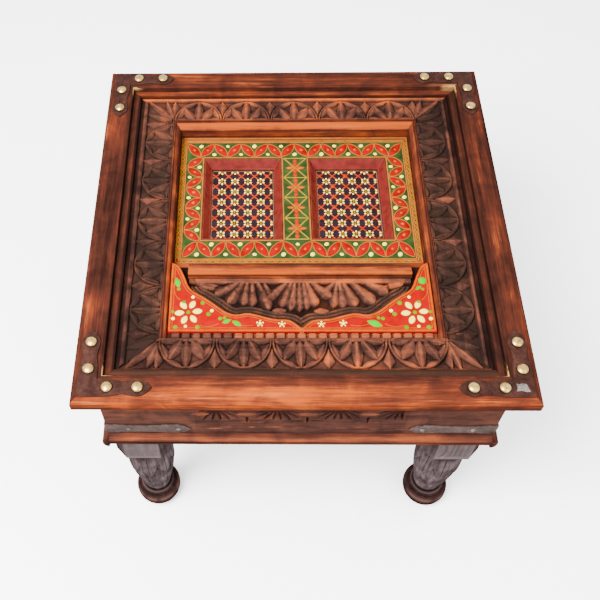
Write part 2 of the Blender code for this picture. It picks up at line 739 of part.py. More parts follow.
def apron_shape():
    """Front apron lying on its back: x along it, y up from its lower edge, z out of its face."""
    height = APRON_TOP - APRON_BOTTOM
    half = APRON_HALF - MITRE_GAP
    inner = half - APRON_THICKNESS
    outline = [(x, y, 0.0) for x, y in rectangle((-half, 0.0), (half, height))]
    base = rectangle((-inner, 0.0), (inner, height))
    line = TABLE_HEIGHT - FRIEZE_DROP - APRON_BOTTOM
    features = []
    places = centred_places(2 * FRIEZE_HALF_LENGTH + ROSETTE_PERIOD, ROSETTE_PERIOD)
    for x in places:
        hub = Vector((x, line))
        for k in range(ROSETTE_PETALS):
            degrees = 360 * k / ROSETTE_PETALS
            if abs(x + ROSETTE_RADIUS * math.sin(math.radians(degrees))) > FRIEZE_HALF_LENGTH:
                continue
            features += leaf(hub, degrees, ROSETTE_HUB, ROSETTE_RADIUS, ROSETTE_PETAL_WIDTH,
                             0.0, -ROSETTE_DEPTH)
    for x in places[:-1]:
        lens = Vector((x + ROSETTE_PERIOD / 2, line + LENS_LENGTH / 2))
        features += leaf(lens, 0, 0, LENS_LENGTH, LENS_WIDTH, 0.0, -ROSETTE_DEPTH)
    return carved_slab(outline, features, -APRON_THICKNESS, base)


def make_aprons(table):
    stand = Matrix.Translation((0, -APRON_HALF, APRON_BOTTOM)) @ Matrix.Rotation(math.pi / 2, 4, "X")
    for side, turn in TURNS.items():
        make_piece("apron_" + side, apron_shape(), "apron_wood", table, turned_to(turn) @ stand)


def make_base_mouldings(table):
    """Rounded strips planted on the foot of the apron: the side strips run past the others."""
    half = APRON_HALF + CLEARANCE + BASE_MOULDING_REACH
    middle = APRON_BOTTOM + BASE_MOULDING_HEIGHT / 2
    section = []
    for i in range(BASE_MOULDING_STEPS + 1):
        turn = math.pi * i / BASE_MOULDING_STEPS
        section.append((-half + BASE_MOULDING_REACH * (1 - math.sin(turn) ** 0.7),
                        middle - BASE_MOULDING_HEIGHT / 2 * math.cos(turn)))
    for side, turn in TURNS.items():
        end = APRON_HALF if side in ("front", "back") else half
        rings = [[(x, y, height) for y, height in section] for x in (-end, end)]
        make_piece("base_moulding_" + side, loft(rings), "rail_wood", table, turned_to(turn))


def apron_strap_half_width(reach):
    """Half width of an apron strap at a distance along it from the corner."""
    if reach <= APRON_STRAP_NAIL:
        wave = math.cos(math.pi * reach / APRON_STRAP_NAIL) ** 2
        return APRON_STRAP_NECK + (APRON_STRAP_LOBE - APRON_STRAP_NECK) * wave
    part = (reach - APRON_STRAP_NAIL) / (APRON_STRAP_LENGTH - APRON_STRAP_NAIL)
    return APRON_STRAP_LOBE * math.cos(math.pi / 2 * part) ** 0.8


def apron_strap_shape():
    """Front right apron strap: two legs of one plate, folded round the apron's corner."""
    middle = APRON_BOTTOM + BASE_MOULDING_HEIGHT + APRON_STRAP_LIFT
    reaches = [APRON_STRAP_LENGTH * i / APRON_STRAP_STEPS for i in range(APRON_STRAP_STEPS)]
    upper = [(r, middle + apron_strap_half_width(r)) for r in reaches]
    lower = [(r, middle - apron_strap_half_width(r)) for r in reaches]
    outline = lower + [(APRON_STRAP_LENGTH, middle)] + upper[::-1]
    count = len(outline)
    face_inner = APRON_HALF + CLEARANCE
    face_outer = face_inner + APRON_STRAP_THICKNESS
    vertices, faces = [], []
    for swap in (False, True):
        for face in (face_inner, face_outer):
            for reach, height in outline:
                along = face - reach if reach == 0 else APRON_HALF - reach
                vertices.append((face, -along, height) if swap else (along, -face, height))
    for leg in (0, 2 * count):
        faces.append([leg + i for i in range(count)])
        faces.append([leg + count + i for i in range(count)][::-1])
        for i in range(count - 1):
            faces.append([leg + i, leg + i + 1, leg + count + i + 1, leg + count + i])
    return welded(vertices, faces)


def welded(vertices, faces):
    """The same shape with points that coincide made one."""
    kept, numbers = {}, []
    for vertex in vertices:
        key = tuple(round(value, 7) for value in vertex)
        numbers.append(kept.setdefault(key, len(kept)))
    return list(kept), [[numbers[i] for i in face] for face in faces]


def make_apron_straps(table):
    for corner, turn in CORNERS.items():
        make_piece("apron_strap_" + corner, apron_strap_shape(), "iron", table, turned_to(turn))


def block_angles():
    """Angles of a leg's points: the block's flats, chamfer ends and corners, and some between."""
    edge = math.atan2(BLOCK_HALF - BLOCK_CHAMFER, BLOCK_HALF)
    quarter = [0.0, edge / 2, edge, math.pi / 4, math.pi / 2 - edge, math.pi / 2 - edge / 2]
    return [k * math.pi / 2 + angle for k in range(4) for angle in quarter]


def chamfered_ring(half, chamfer, height):
    """Square with cut corners, as points at the leg's angles."""
    ring = []
    for angle in block_angles():
        c, s = abs(math.cos(angle)), abs(math.sin(angle))
        radius = min(half / max(c, s), (2 * half - chamfer) / (c + s))
        ring.append((radius * math.cos(angle), radius * math.sin(angle), height))
    return ring


def round_ring(radius, height, relief=0.0):
    """Circle at the leg's angles, with eight shallow petals where relief is given."""
    ring = []
    for angle in block_angles():
        r = radius + relief * (math.cos(8 * angle) - 1) / 2
        ring.append((r * math.cos(angle), r * math.sin(angle), height))
    return ring


def leg_rings():
    """Rings of the front right leg about its own axis, from the floor up."""
    rings = [round_ring(FOOT_BASE_RADIUS, 0.0)]
    for degrees in (-50, -20, 10, 40, 65):
        turn = math.radians(degrees)
        rings.append(round_ring(NECK_RADIUS + (FOOT_RADIUS - NECK_RADIUS) * math.cos(turn) ** 0.6,
                                FOOT_MIDDLE * (1 + math.sin(turn))))
    rings.append(round_ring(NECK_RADIUS, NECK_HEIGHT - 0.008))
    rings.append(round_ring(NECK_RADIUS, NECK_HEIGHT))
    for part in (0.14, 0.3, 0.5, 0.75, 1.0):
        swell = math.sin(math.pi / 2 * part)
        rings.append(round_ring(NECK_RADIUS + (VASE_RADIUS - NECK_RADIUS) * swell,
                                NECK_HEIGHT + (VASE_BULGE_HEIGHT - NECK_HEIGHT) * part,
                                PETAL_RELIEF * 2 * part))
    block_low = APRON_BOTTOM - CLEARANCE - BLOCK_HEIGHT
    vase_top = block_low - BLOCK_FOOT
    for part in (0.5, 0.85, 1.0):
        rings.append(round_ring(VASE_RADIUS + (VASE_TOP_RADIUS - VASE_RADIUS) * part * part,
                                VASE_BULGE_HEIGHT + (vase_top - VASE_BULGE_HEIGHT) * part,
                                PETAL_RELIEF * 2 * (1 - part)))
    rings.append(chamfered_ring(BLOCK_HALF - BLOCK_FOOT / 2, BLOCK_CHAMFER, vase_top + 0.001))
    rings.append(chamfered_ring(BLOCK_HALF, BLOCK_CHAMFER, block_low))
    rings.append(chamfered_ring(BLOCK_HALF, BLOCK_CHAMFER, APRON_BOTTOM - CLEARANCE))
    post_outer = APRON_HALF - APRON_THICKNESS - CLEARANCE
    offset = post_outer - POST_SIDE / 2 - LEG_CENTRE
    for height in (APRON_BOTTOM - CLEARANCE, TRAY_TOP - TRAY_THICKNESS - CLEARANCE):
        rings.append([(x + offset, y - offset, z)
                      for x, y, z in chamfered_ring(POST_SIDE / 2, 0.0, height)])
    return rings


def make_legs(table):
    axis = Matrix.Translation((LEG_CENTRE, -LEG_CENTRE, 0))
    for corner, turn in CORNERS.items():
        make_piece("leg_" + corner, loft(leg_rings()), "leg_wood", table, turned_to(turn) @ axis)


def main():
    clear_scene()
    table = bpy.data.objects.new("table", None)
    bpy.context.scene.collection.objects.link(table)
    make_rails(table)
    make_straps_and_nails(table)
    make_carved_frame(table)
    make_inner_mouldings(table)
    make_painted_panel(table)
    make_fan_panel(table)
    make_sill(table)
    make_scalloped_board(table)
    make_dentil_strip(table)
    make_tray_bottom(table)
    make_aprons(table)
    make_base_mouldings(table)
    make_apron_straps(table)
    make_legs(table)


main()
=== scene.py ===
"""Looks of the carved and painted coffee table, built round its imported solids.

Carved wood is made as fine height fields, paint is laid on as raised lines, leaves and dots, and
what repeats is set out by geometry nodes. Lengths are in metres, front is -Y and up is +Z.
"""
import math

import bmesh
import bpy
import numpy as np
from mathutils import Matrix, Vector


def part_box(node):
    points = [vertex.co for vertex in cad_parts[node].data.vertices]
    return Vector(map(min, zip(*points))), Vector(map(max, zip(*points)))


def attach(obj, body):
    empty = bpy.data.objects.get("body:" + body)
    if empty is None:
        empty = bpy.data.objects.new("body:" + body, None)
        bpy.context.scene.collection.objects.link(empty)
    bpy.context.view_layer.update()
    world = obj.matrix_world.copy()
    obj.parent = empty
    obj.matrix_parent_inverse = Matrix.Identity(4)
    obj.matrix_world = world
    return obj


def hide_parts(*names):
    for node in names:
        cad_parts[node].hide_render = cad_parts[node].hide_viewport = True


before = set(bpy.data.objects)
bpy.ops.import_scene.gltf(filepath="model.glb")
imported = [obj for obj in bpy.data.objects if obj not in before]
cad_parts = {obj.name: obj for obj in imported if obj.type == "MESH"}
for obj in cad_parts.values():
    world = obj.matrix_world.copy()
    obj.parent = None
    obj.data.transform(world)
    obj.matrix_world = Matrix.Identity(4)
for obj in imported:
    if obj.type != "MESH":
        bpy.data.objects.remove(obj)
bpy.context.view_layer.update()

# Places read from the solids
RAIL_LOW, RAIL_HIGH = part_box("top_rail_front")
TOP = RAIL_HIGH.z
HALF = -RAIL_LOW.y
LEDGE_HALF = -RAIL_HIGH.y
RAIL_BOTTOM = RAIL_LOW.z
FRAME_LOW, FRAME_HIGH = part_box("carved_frame_front")
FRAME_HALF = -FRAME_LOW.y
INNER_HALF_Y = -FRAME_HIGH.y
INNER_HALF_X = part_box("carved_frame_right")[0].x
SEAT = FRAME_LOW.z
FAN_LOW, FAN_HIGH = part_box("fan_panel")
SILL_LOW, SILL_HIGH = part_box("sill_moulding")
PANEL_LOW, PANEL_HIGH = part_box("painted_panel")
SCALLOP_LOW, SCALLOP_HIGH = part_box("scalloped_board")
DENTIL_LOW, DENTIL_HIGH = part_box("dentil_strip")
APRON_LOW, APRON_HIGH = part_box("apron_front")
APRON_HALF = -APRON_LOW.y
MOULDING_LOW, MOULDING_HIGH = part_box("base_moulding_front")
SIDE_MOULDING_LOW, SIDE_MOULDING_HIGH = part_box("base_moulding_right")
LEG_LOW, LEG_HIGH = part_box("leg_front_right")
STRAP_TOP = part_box("corner_strap_front_right")[1].z
APRON_STRAP_FACE = -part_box("apron_strap_front_right")[0].y
MITRE_GAP = 0.0002

TURNS = {"front": 0.0, "right": math.pi / 2, "back": math.pi, "left": -math.pi / 2}
CORNERS = {"front_right": 0.0, "back_right": math.pi / 2,
           "back_left": math.pi, "front_left": -math.pi / 2}
GRAIN = {"front": "X", "back": "X", "left": "Y", "right": "Y"}
SIDE_NUMBERS = {side: number for number, side in enumerate(TURNS)}


# Small helpers

def smooth_step(low, high, value):
    part = np.clip((value - low) / (high - low), 0, 1)
    return part * part * (3 - 2 * part)


def unevenness(x, y, cell, seed):
    """Smooth random field from -1 to 1, with bumps about one cell wide."""
    table = np.random.default_rng(seed).uniform(-1, 1, (64, 64))
    u, v = np.asarray(x) / cell, np.asarray(y) / cell
    i, j = np.floor(u).astype(int), np.floor(v).astype(int)
    a, b = smooth_step(0, 1, u - i), smooth_step(0, 1, v - j)
    near = table[i % 64, j % 64] * (1 - a) + table[(i + 1) % 64, j % 64] * a
    far = table[i % 64, (j + 1) % 64] * (1 - a) + table[(i + 1) % 64, (j + 1) % 64] * a
    return near * (1 - b) + far * b


def soften(field, rounds):
    """Blur a height field a little, once for each round."""
    for _ in range(rounds):
        wide = np.pad(field, 1, mode="edge")
        field = (4 * field + wide[:-2, 1:-1] + wide[2:, 1:-1]
                 + wide[1:-1, :-2] + wide[1:-1, 2:]) / 8
    return field


def turned_to(angle):
    return Matrix.Rotation(angle, 4, "Z")


def moved(points, place):
    """Points carried by a matrix."""
    matrix = np.array(place)
    return np.asarray(points) @ matrix[:3, :3].T + matrix[:3, 3]


def add_object(name, data):
    thing = bpy.data.objects.new(name, data)
    bpy.context.scene.collection.objects.link(thing)
    return thing


def new_mesh(name, points, edges, faces):
    mesh = bpy.data.meshes.new(name)
    mesh.from_pydata(points, edges, faces)
    return mesh


def tube_faces(grid):
    """Faces round a tube whose rings of point numbers are the rows of a grid, with both ends closed."""
    ahead = np.roll(grid, -1, axis=1)
    faces = np.stack([grid[:-1], ahead[:-1], ahead[1:], grid[1:]], -1).reshape(-1, 4).tolist()
    return faces + [grid[0].tolist()[::-1], grid[-1].tolist()]


def mark_points(mesh, mark, values):
    """Keep a number for each point of a mesh, for its finish to read."""
    mesh.attributes.new(mark, "FLOAT", "POINT").data.foreach_set(
        "value", np.asarray(values, np.float32).ravel())


def read_points(piece):
    points = np.empty(len(piece.data.vertices) * 3, np.float32)
    piece.data.vertices.foreach_get("co", points)
    return points.reshape(-1, 3).astype(float)


def write_points(piece, points):
    piece.data.vertices.foreach_set("co", points.astype(np.float32).ravel())
    piece.data.update()


def build_piece(name, points, faces, material, marks=None, crease=50):
    """Mesh object from points and faces, with marks as point attributes that the finish reads."""
    mesh = new_mesh(name, np.asarray(points, float).tolist(), [], faces)
    for mark, values in (marks or {}).items():
        mark_points(mesh, mark, values)
    work = bmesh.new()
    work.from_mesh(mesh)
    bmesh.ops.recalc_face_normals(work, faces=work.faces)
    work.to_mesh(mesh)
    work.free()
    mesh.shade_smooth()
    mesh.set_sharp_from_angle(angle=math.radians(crease))
    mesh.materials.append(material)
    return add_object(name, mesh)


def settle(piece, slot, *nodes):
    """Ride on the table and stand for the solids named; its slot is not used."""
    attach(piece, "root")
    if nodes:
        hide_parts(*nodes)
    return piece


SHARP_ANGLE = 0.6


def eased_copy(node, material, width, slot):
    """Copy of a solid with its sharp edges rounded over."""
    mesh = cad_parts[node].data.copy()
    mesh.materials.clear()
    mesh.materials.append(material)
    work = bmesh.new()
    work.from_mesh(mesh)
    bmesh.ops.remove_doubles(work, verts=work.verts, dist=1e-6)
    bmesh.ops.dissolve_limit(work, angle_limit=math.radians(1), verts=work.verts, edges=work.edges)
    sharp = [e for e in work.edges if len(e.link_faces) == 2 and e.calc_face_angle(0) > SHARP_ANGLE]
    bmesh.ops.bevel(work, geom=sharp, offset=width, segments=2, profile=0.6,
                    affect="EDGES", clamp_overlap=True)
    work.to_mesh(mesh)
    work.free()
    mesh.shade_smooth()
    mesh.set_sharp_from_angle(angle=math.radians(35))
    return settle(add_object("eased_" + node, mesh), slot, node)


class Graph:
    """A node tree with short calls to add and join its nodes."""

    def __init__(self, tree):
        self.tree = tree

    def add(self, kind, *plugs, **settings):
        node = self.tree.nodes.new(kind)
        for key, value in settings.items():
            setattr(node, key, value)
        for socket, value in plugs:
            if isinstance(value, bpy.types.NodeSocket):
                self.tree.links.new(value, node.inputs[socket])
            else:
                node.inputs[socket].default_value = value
        return node

    def math(self, operation, first, second=0.0):
        return self.add("ShaderNodeMath", (0, first), (1, second), operation=operation).outputs[0]

    def times(self, value, share):
        return self.math("MULTIPLY", value, share)

    def plus(self, value, other, share):
        """A value with a share of another one added to it."""
        return self.math("ADD", value, self.times(other, share))

    def noise(self, vector, scale, detail=3.0, roughness=0.5, distortion=0.0):
        return self.add("ShaderNodeTexNoise", ("Vector", vector), ("Scale", scale),
                        ("Detail", detail), ("Roughness", roughness),
                        ("Distortion", distortion)).outputs[0]

    def stretch(self, vector, scale):
        return self.add("ShaderNodeMapping", ("Vector", vector), ("Scale", scale)).outputs[0]

    def fit(self, value, low, high, to_low=0.0, to_high=1.0):
        return self.add("ShaderNodeMapRange", ("Value", value), ("From Min", low),
                        ("From Max", high), ("To Min", to_low), ("To Max", to_high)).outputs[0]

    def mix(self, factor, first, second):
        return self.add("ShaderNodeMix", (0, factor), (6, first), (7, second),
                        data_type="RGBA").outputs[2]

    def ramp(self, factor, stops):
        node = self.add("ShaderNodeValToRGB", ("Fac", factor))
        bands = node.color_ramp.elements
        while len(bands) < len(stops):
            bands.new(0.5)
        for band, (place, colour) in zip(bands, stops):
            band.position = place
            band.color = (*colour, 1.0)
        return node.outputs[0]

    def mark(self, name):
        return self.add("ShaderNodeAttribute", attribute_name=name).outputs["Fac"]

    def feed(self, shader, socket, value):
        self.tree.links.new(value, shader.inputs[socket])

    def bump(self, shader, height, strength, distance):
        node = self.add("ShaderNodeBump", ("Height", height), ("Strength", strength),
                        ("Distance", distance))
        self.feed(shader, "Normal", node.outputs[0])


def new_finish(name, roughness, metallic=0.0, shine=0.0):
    """Material with its plain values set, its graph, its shader and object coordinates."""
    material = bpy.data.materials.new(name)
    material.use_nodes = True
    graph = Graph(material.node_tree)
    shader = material.node_tree.nodes["Principled BSDF"]
    shader.inputs["Roughness"].default_value = roughness
    shader.inputs["Metallic"].default_value = metallic
    shader.inputs["Specular IOR Level"].default_value = shine
    coords = graph.add("ShaderNodeTexCoord").outputs["Object"]
    return material, graph, shader, coords


# Finishes

STREAK_STRETCH = {"X": (9, 240, 240), "Y": (240, 9, 240)}
GRAIN_STRETCH = {"X": (1.3, 26, 26), "Y": (26, 1.3, 26), "Z": (26, 26, 1.3)}
STAIN_PLACES = (0.34, 0.44, 0.53, 0.62, 0.74)
MARK_STEP = 0.10
# Colour of the stain in hollows, also used for painted shade
STAIN_AND_SHADE = (0.0031, 0.0015, 0.0013)
BARE_WOOD = (0.28, 0.16, 0.053)
DUST = (0.0123, 0.0079, 0.0056)


def stained_wood(name, axis, stops, worn, roughness=0.42, grain=1.0, streaks=0.0):
    """Stained and waxed wood: streaks along the grain, dark in hollows, rubbed on crests, with painted
    light.

    The marks it reads are hollow (stain, and painted shade), crest (rubbed, and painted highlight),
    shade (extra stain, and painted shade), glow (rubbed thin, and painted highlight), dust and bare.
    """
    material, graph, shader, coords = new_finish(name, roughness)
    along = graph.stretch(coords, GRAIN_STRETCH[axis])
    broad = graph.noise(along, 2.0, 4.0, 0.6, 0.6)
    streak = graph.noise(graph.stretch(along, (5, 5, 5)), 2.0, 4.0, 0.62, 0.3)
    pores = graph.noise(graph.stretch(along, (15, 15, 15)), 2.0, 2.0, 0.6)
    blotch = graph.noise(coords, 22.0, 5.0, 0.6, 0.8)
    tone = graph.plus(graph.times(broad, 0.30), streak, 0.36 * grain)
    tone = graph.plus(tone, blotch, 0.70 - 0.36 * grain)
    tone = graph.plus(tone, graph.math("SUBTRACT", pores, 0.5), 0.16 * grain)
    tone = graph.plus(tone, graph.mark("glow"), MARK_STEP)
    tone = graph.plus(tone, graph.mark("shade"), -MARK_STEP)
    colour = graph.ramp(tone, tuple(zip(STAIN_PLACES, stops)))
    # Painted sheen: thin highlight streaks in the lighter parts, with darker grain streaks between them
    if streaks:
        thin = graph.noise(graph.stretch(coords, STREAK_STRETCH[axis]), 1.0, 4.0, 0.65, 0.4)
        sheen_strength = graph.fit(tone, 0.50, 0.68, 0.0, streaks)
        lit = graph.times(graph.fit(thin, 0.57, 0.66), sheen_strength)
        colour = graph.mix(lit, colour, (1.4 * worn[0], 1.7 * worn[1], 1.7 * worn[2], 1.0))
        dull = graph.times(graph.fit(thin, 0.46, 0.34), 0.4 * streaks)
        colour = graph.mix(dull, colour, (*stops[1], 1.0))
    colour = graph.mix(graph.mark("dust"), colour, (*DUST, 1.0))
    rub = graph.noise(coords, 75.0, 5.0, 0.65, 0.5)
    crest = graph.times(graph.mark("crest"), graph.fit(rub, 0.42, 0.66))
    colour = graph.mix(crest, colour, (*worn, 1.0))
    # Hollows take the stain colour: stain, and painted shade where the marks put it
    hollow = graph.times(graph.mark("hollow"), 0.94)
    colour = graph.mix(hollow, colour, (*STAIN_AND_SHADE, 1.0))
    colour = graph.mix(graph.mark("bare"), colour, (*BARE_WOOD, 1.0))
    graph.feed(shader, "Base Color", colour)
    graph.feed(shader, "Roughness", graph.fit(streak, 0.3, 0.7, roughness + 0.10, roughness - 0.10))
    graph.bump(shader, graph.plus(graph.times(pores, 0.6), streak, 0.8), 0.25 * grain, 0.0008)
    return material


def gloss_paint(name, colour, spread, roughness=0.36, shine=0.0):
    """Brushed gloss paint, with a little cloud in its colour and fine brush marks."""
    material, graph, shader, coords = new_finish(name, roughness, 0.0, shine)
    cloud = graph.noise(coords, 80.0, 4.0, 0.6, 0.3)
    darker = tuple(c * (1 - 2.4 * spread) for c in colour)
    lighter = tuple(min(0.95, c * (1 + 1.5 * spread)) for c in colour)
    graph.feed(shader, "Base Color", graph.ramp(cloud, ((0.32, darker), (0.50, colour), (0.70, lighter))))
    brush = graph.noise(graph.stretch(coords, (90, 420, 420)), 1.0, 2.0)
    graph.bump(shader, brush, 0.12, 0.0004)
    return material


def forged_iron(name, dark, middle, light):
    """Old iron, dull and pitted, with lighter rubbed spots."""
    roughness = 0.5
    material, graph, shader, coords = new_finish(name, roughness, 0.10, 0.01)
    rust = graph.noise(coords, 60.0, 5.0, 0.65, 0.6)
    pits = graph.noise(coords, 260.0, 3.0, 0.6)
    tone = graph.plus(graph.times(rust, 0.7), pits, 0.3)
    graph.feed(shader, "Base Color", graph.ramp(tone, ((0.36, dark), (0.5, middle), (0.66, light))))
    graph.feed(shader, "Roughness", graph.fit(rust, 0.3, 0.7, roughness - 0.1, roughness + 0.16))
    graph.bump(shader, graph.math("ADD", pits, rust), 0.4, 0.0008)
    return material


def polished_brass():
    """Worn brass: golden on the dome, with painted shade round the rim."""
    material, graph, shader, coords = new_finish("polished_brass", 0.34, 1.0)
    tarnish = graph.noise(coords, 200.0, 4.0, 0.6)
    tone = graph.ramp(tarnish, ((0.30, (0.17, 0.088, 0.02)), (0.5, (0.34, 0.215, 0.06)),
                                (0.72, (0.56, 0.40, 0.16))))
    # Painted shade: the rim of each dome is darkened through its hollow mark
    tone = graph.mix(graph.mark("hollow"), tone, (0.033, 0.0147, 0.0053, 1.0))
    graph.feed(shader, "Base Color", tone)
    graph.feed(shader, "Roughness", graph.fit(tarnish, 0.3, 0.7, 0.44, 0.26))
    return material


def painted_field():
    """Green gloss paint with a wood-coloured rim, its edge drawn a little unevenly by hand."""
    material, graph, shader, coords = new_finish("green_field", 0.36)
    axes = graph.add("ShaderNodeSeparateXYZ", (0, coords)).outputs
    shake = graph.times(graph.math("SUBTRACT", graph.noise(coords, 40.0), 0.5), 0.0025)
    from_middle = graph.math("SUBTRACT", axes[1], (FIELD_FRONT + FIELD_BACK) / 2)
    side = graph.math("SUBTRACT", graph.math("ABSOLUTE", axes[0]), FIELD_HALF)
    end = graph.math("SUBTRACT", graph.math("ABSOLUTE", from_middle), (FIELD_BACK - FIELD_FRONT) / 2)
    rim = graph.math("ADD", graph.math("MAXIMUM", side, end), shake)
    outside = graph.fit(rim, -0.0003, 0.0003)
    cloud = graph.noise(coords, 60.0, 4.0, 0.6, 0.4)
    green = graph.ramp(cloud, ((0.3, (0.0058, 0.0120, 0.0036)), (0.5, (0.0115, 0.0212, 0.0055)),
                               (0.72, (0.0220, 0.034, 0.0080))))
    streak = graph.noise(graph.stretch(coords, (3, 30, 30)), 3.0, 5.0, 0.6)
    wood = graph.ramp(streak, ((0.3, (0.060, 0.0100, 0.0042)), (0.5, (0.100, 0.0170, 0.0055)),
                               (0.72, (0.150, 0.030, 0.0080))))
    graph.feed(shader, "Base Color", graph.mix(outside, green, wood))
    graph.bump(shader, cloud, 0.15, 0.0006)
    return material


# Carved height fields

def relief_board(name, x, y, z, base, material, place, marks):
    """Closed board whose upper face is a grid of points, with the marks of that face."""
    rows, columns = z.shape
    grid = np.arange(rows * columns).reshape(rows, columns)
    upper = np.stack([x, y, z], -1).reshape(-1, 3)
    faces = np.stack([grid[:-1, :-1], grid[:-1, 1:], grid[1:, 1:], grid[1:, :-1]], -1)
    faces = faces.reshape(-1, 4).tolist()
    rim = np.concatenate([grid[0, :], grid[1:, -1], grid[-1, -2::-1], grid[-2:0:-1, 0]])
    lower = upper[rim].copy()
    lower[:, 2] = base
    below = len(upper) + np.arange(len(rim))
    faces += np.stack([rim, below, np.roll(below, -1), np.roll(rim, -1)], -1).tolist()
    front = below[:columns]
    right = below[columns - 1:columns + rows - 1]
    back = below[columns + rows - 2:2 * columns + rows - 2][::-1]
    left = np.append(below[2 * columns + rows - 3:], below[0])[::-1]
    faces += np.stack([front[1:-2], front[2:-1], back[2:-1], back[1:-2]], -1).tolist()
    faces.append(np.append(left, [back[1], front[1]]).tolist())
    faces.append(np.append(right, [back[-2], front[-2]]).tolist())
    points = moved(np.concatenate([upper, lower]), place)
    filled = {mark: np.append(values, np.zeros(len(rim))) for mark, values in marks.items()}
    return build_piece(name, points, faces, material, filled)


def carving_marks(z, hollow_depth, crest_height, broad, fine):
    """Where stain gathers, and where the high edges are rubbed and take a painted highlight, from a height
    field.
    """
    hollow = np.clip((soften(z, broad) - z) / hollow_depth, 0, 1)
    crest = np.clip((z - soften(z, fine)) / crest_height, 0, 1)
    return hollow, crest


def leaf_rise(along, across, start, end, width):
    """1 on the middle line of a pointed leaf, 0 on its edge and negative outside."""
    part = np.clip((along - start) / (end - start), 0, 1)
    half = width / 2 * np.sin(math.pi * part ** 0.85) ** 0.7
    return 1 - np.abs(across) / np.maximum(half, 1e-6)


def raised(rise, ground, edge, ridge):
    """Height of a leaf that stands up from the ground to its edge and then to its ridge."""
    height = edge + (ridge - edge) * np.clip(rise, 0, 1) ** 0.9
    return ground + (height - ground) * smooth_step(-0.02, 0.10, rise)


def polar(dx, dt, degrees):
    """Distances along and across a line that leaves a hub at an angle from straight out."""
    turn = math.radians(degrees)
    return (dx * math.sin(turn) + dt * math.cos(turn),
            dx * math.cos(turn) - dt * math.sin(turn))


GRID_STEP = 0.0009
PALMETTE_PERIOD = 0.078
PALMETTE_HALF_WIDTH = 0.0386
PALMETTE_ROOM = 0.0427
PALMETTE_CUT = 0.0054
ARCH_HALF = 0.0014
ARCH_TOP = -0.0012
ARCH_ROUND = 0.0010
ARCH_PLACE = 0.965
BOWL_EDGE = 0.945
RIM_LEVEL = -0.0004
BEAD_WIDTH = 0.0058
BEAD_DROP = 0.0032
FRONT_FLAT = -0.0034
BEAD_ZONES = {"front": 0.0025, "back": 0.0060, "left": 0.0115, "right": 0.0115}
FRONT_FILLET = 0.0022
FRONT_PALMETTES = (-0.157, -0.079, -0.003, 0.073, 0.158)
# Leaves of one palmette: start and end as (sideways, out from the inner edge), width, edge, ridge
PALMETTE_LEAVES = (((0.0, 0.0002), (0.0, 0.0418), 0.0160, -0.0036, 0.0),
                   ((0.0070, 0.0004), (0.0238, 0.0292), 0.0176, -0.0038, 0.0),
                   ((0.0048, 0.0402), (0.0262, 0.0296), 0.0118, -0.0036, -0.0006),
                   ((0.0246, 0.0268), (0.0338, 0.0050), 0.0112, -0.0040, -0.0008),
                   ((0.0135, 0.0010), (0.0350, 0.0032), 0.0096, -0.0036, -0.0006))
# Kites between palmettes: where one starts, is widest and ends, out from the inner edge
KITE_REACHES = (0.0115, 0.0310, 0.0425)
KITE_HALF = 0.0098
KITE_EDGE = -0.0042
# Leaves in the mitred corners: direction in degrees, length, width
CORNER_LEAVES = ((45, 0.060, 0.0165), (18, 0.046, 0.0140), (72, 0.046, 0.0140))
CORNER_EDGE = -0.0038
CORNER_RIDGE = -0.0002
# Rises at which the cut line beside a leaf fades, and at which its ridge begins
CUT_LINE = (0.26, 0.10)
RIDGE_LINE = (0.78, 0.94)


def leaf_between(x, t, start, end, width, edge, ridge, ground):
    """Height of one ridged leaf drawn from its start to its end, and its rise to its middle line."""
    run = np.subtract(end, start)
    length = math.hypot(*run)
    aim = run / length
    along = (x - start[0]) * aim[0] + (t - start[1]) * aim[1]
    across = (x - start[0]) * aim[1] - (t - start[1]) * aim[0]
    rise = leaf_rise(along, across, 0, length, width)
    return raised(rise, ground, edge, ridge), rise


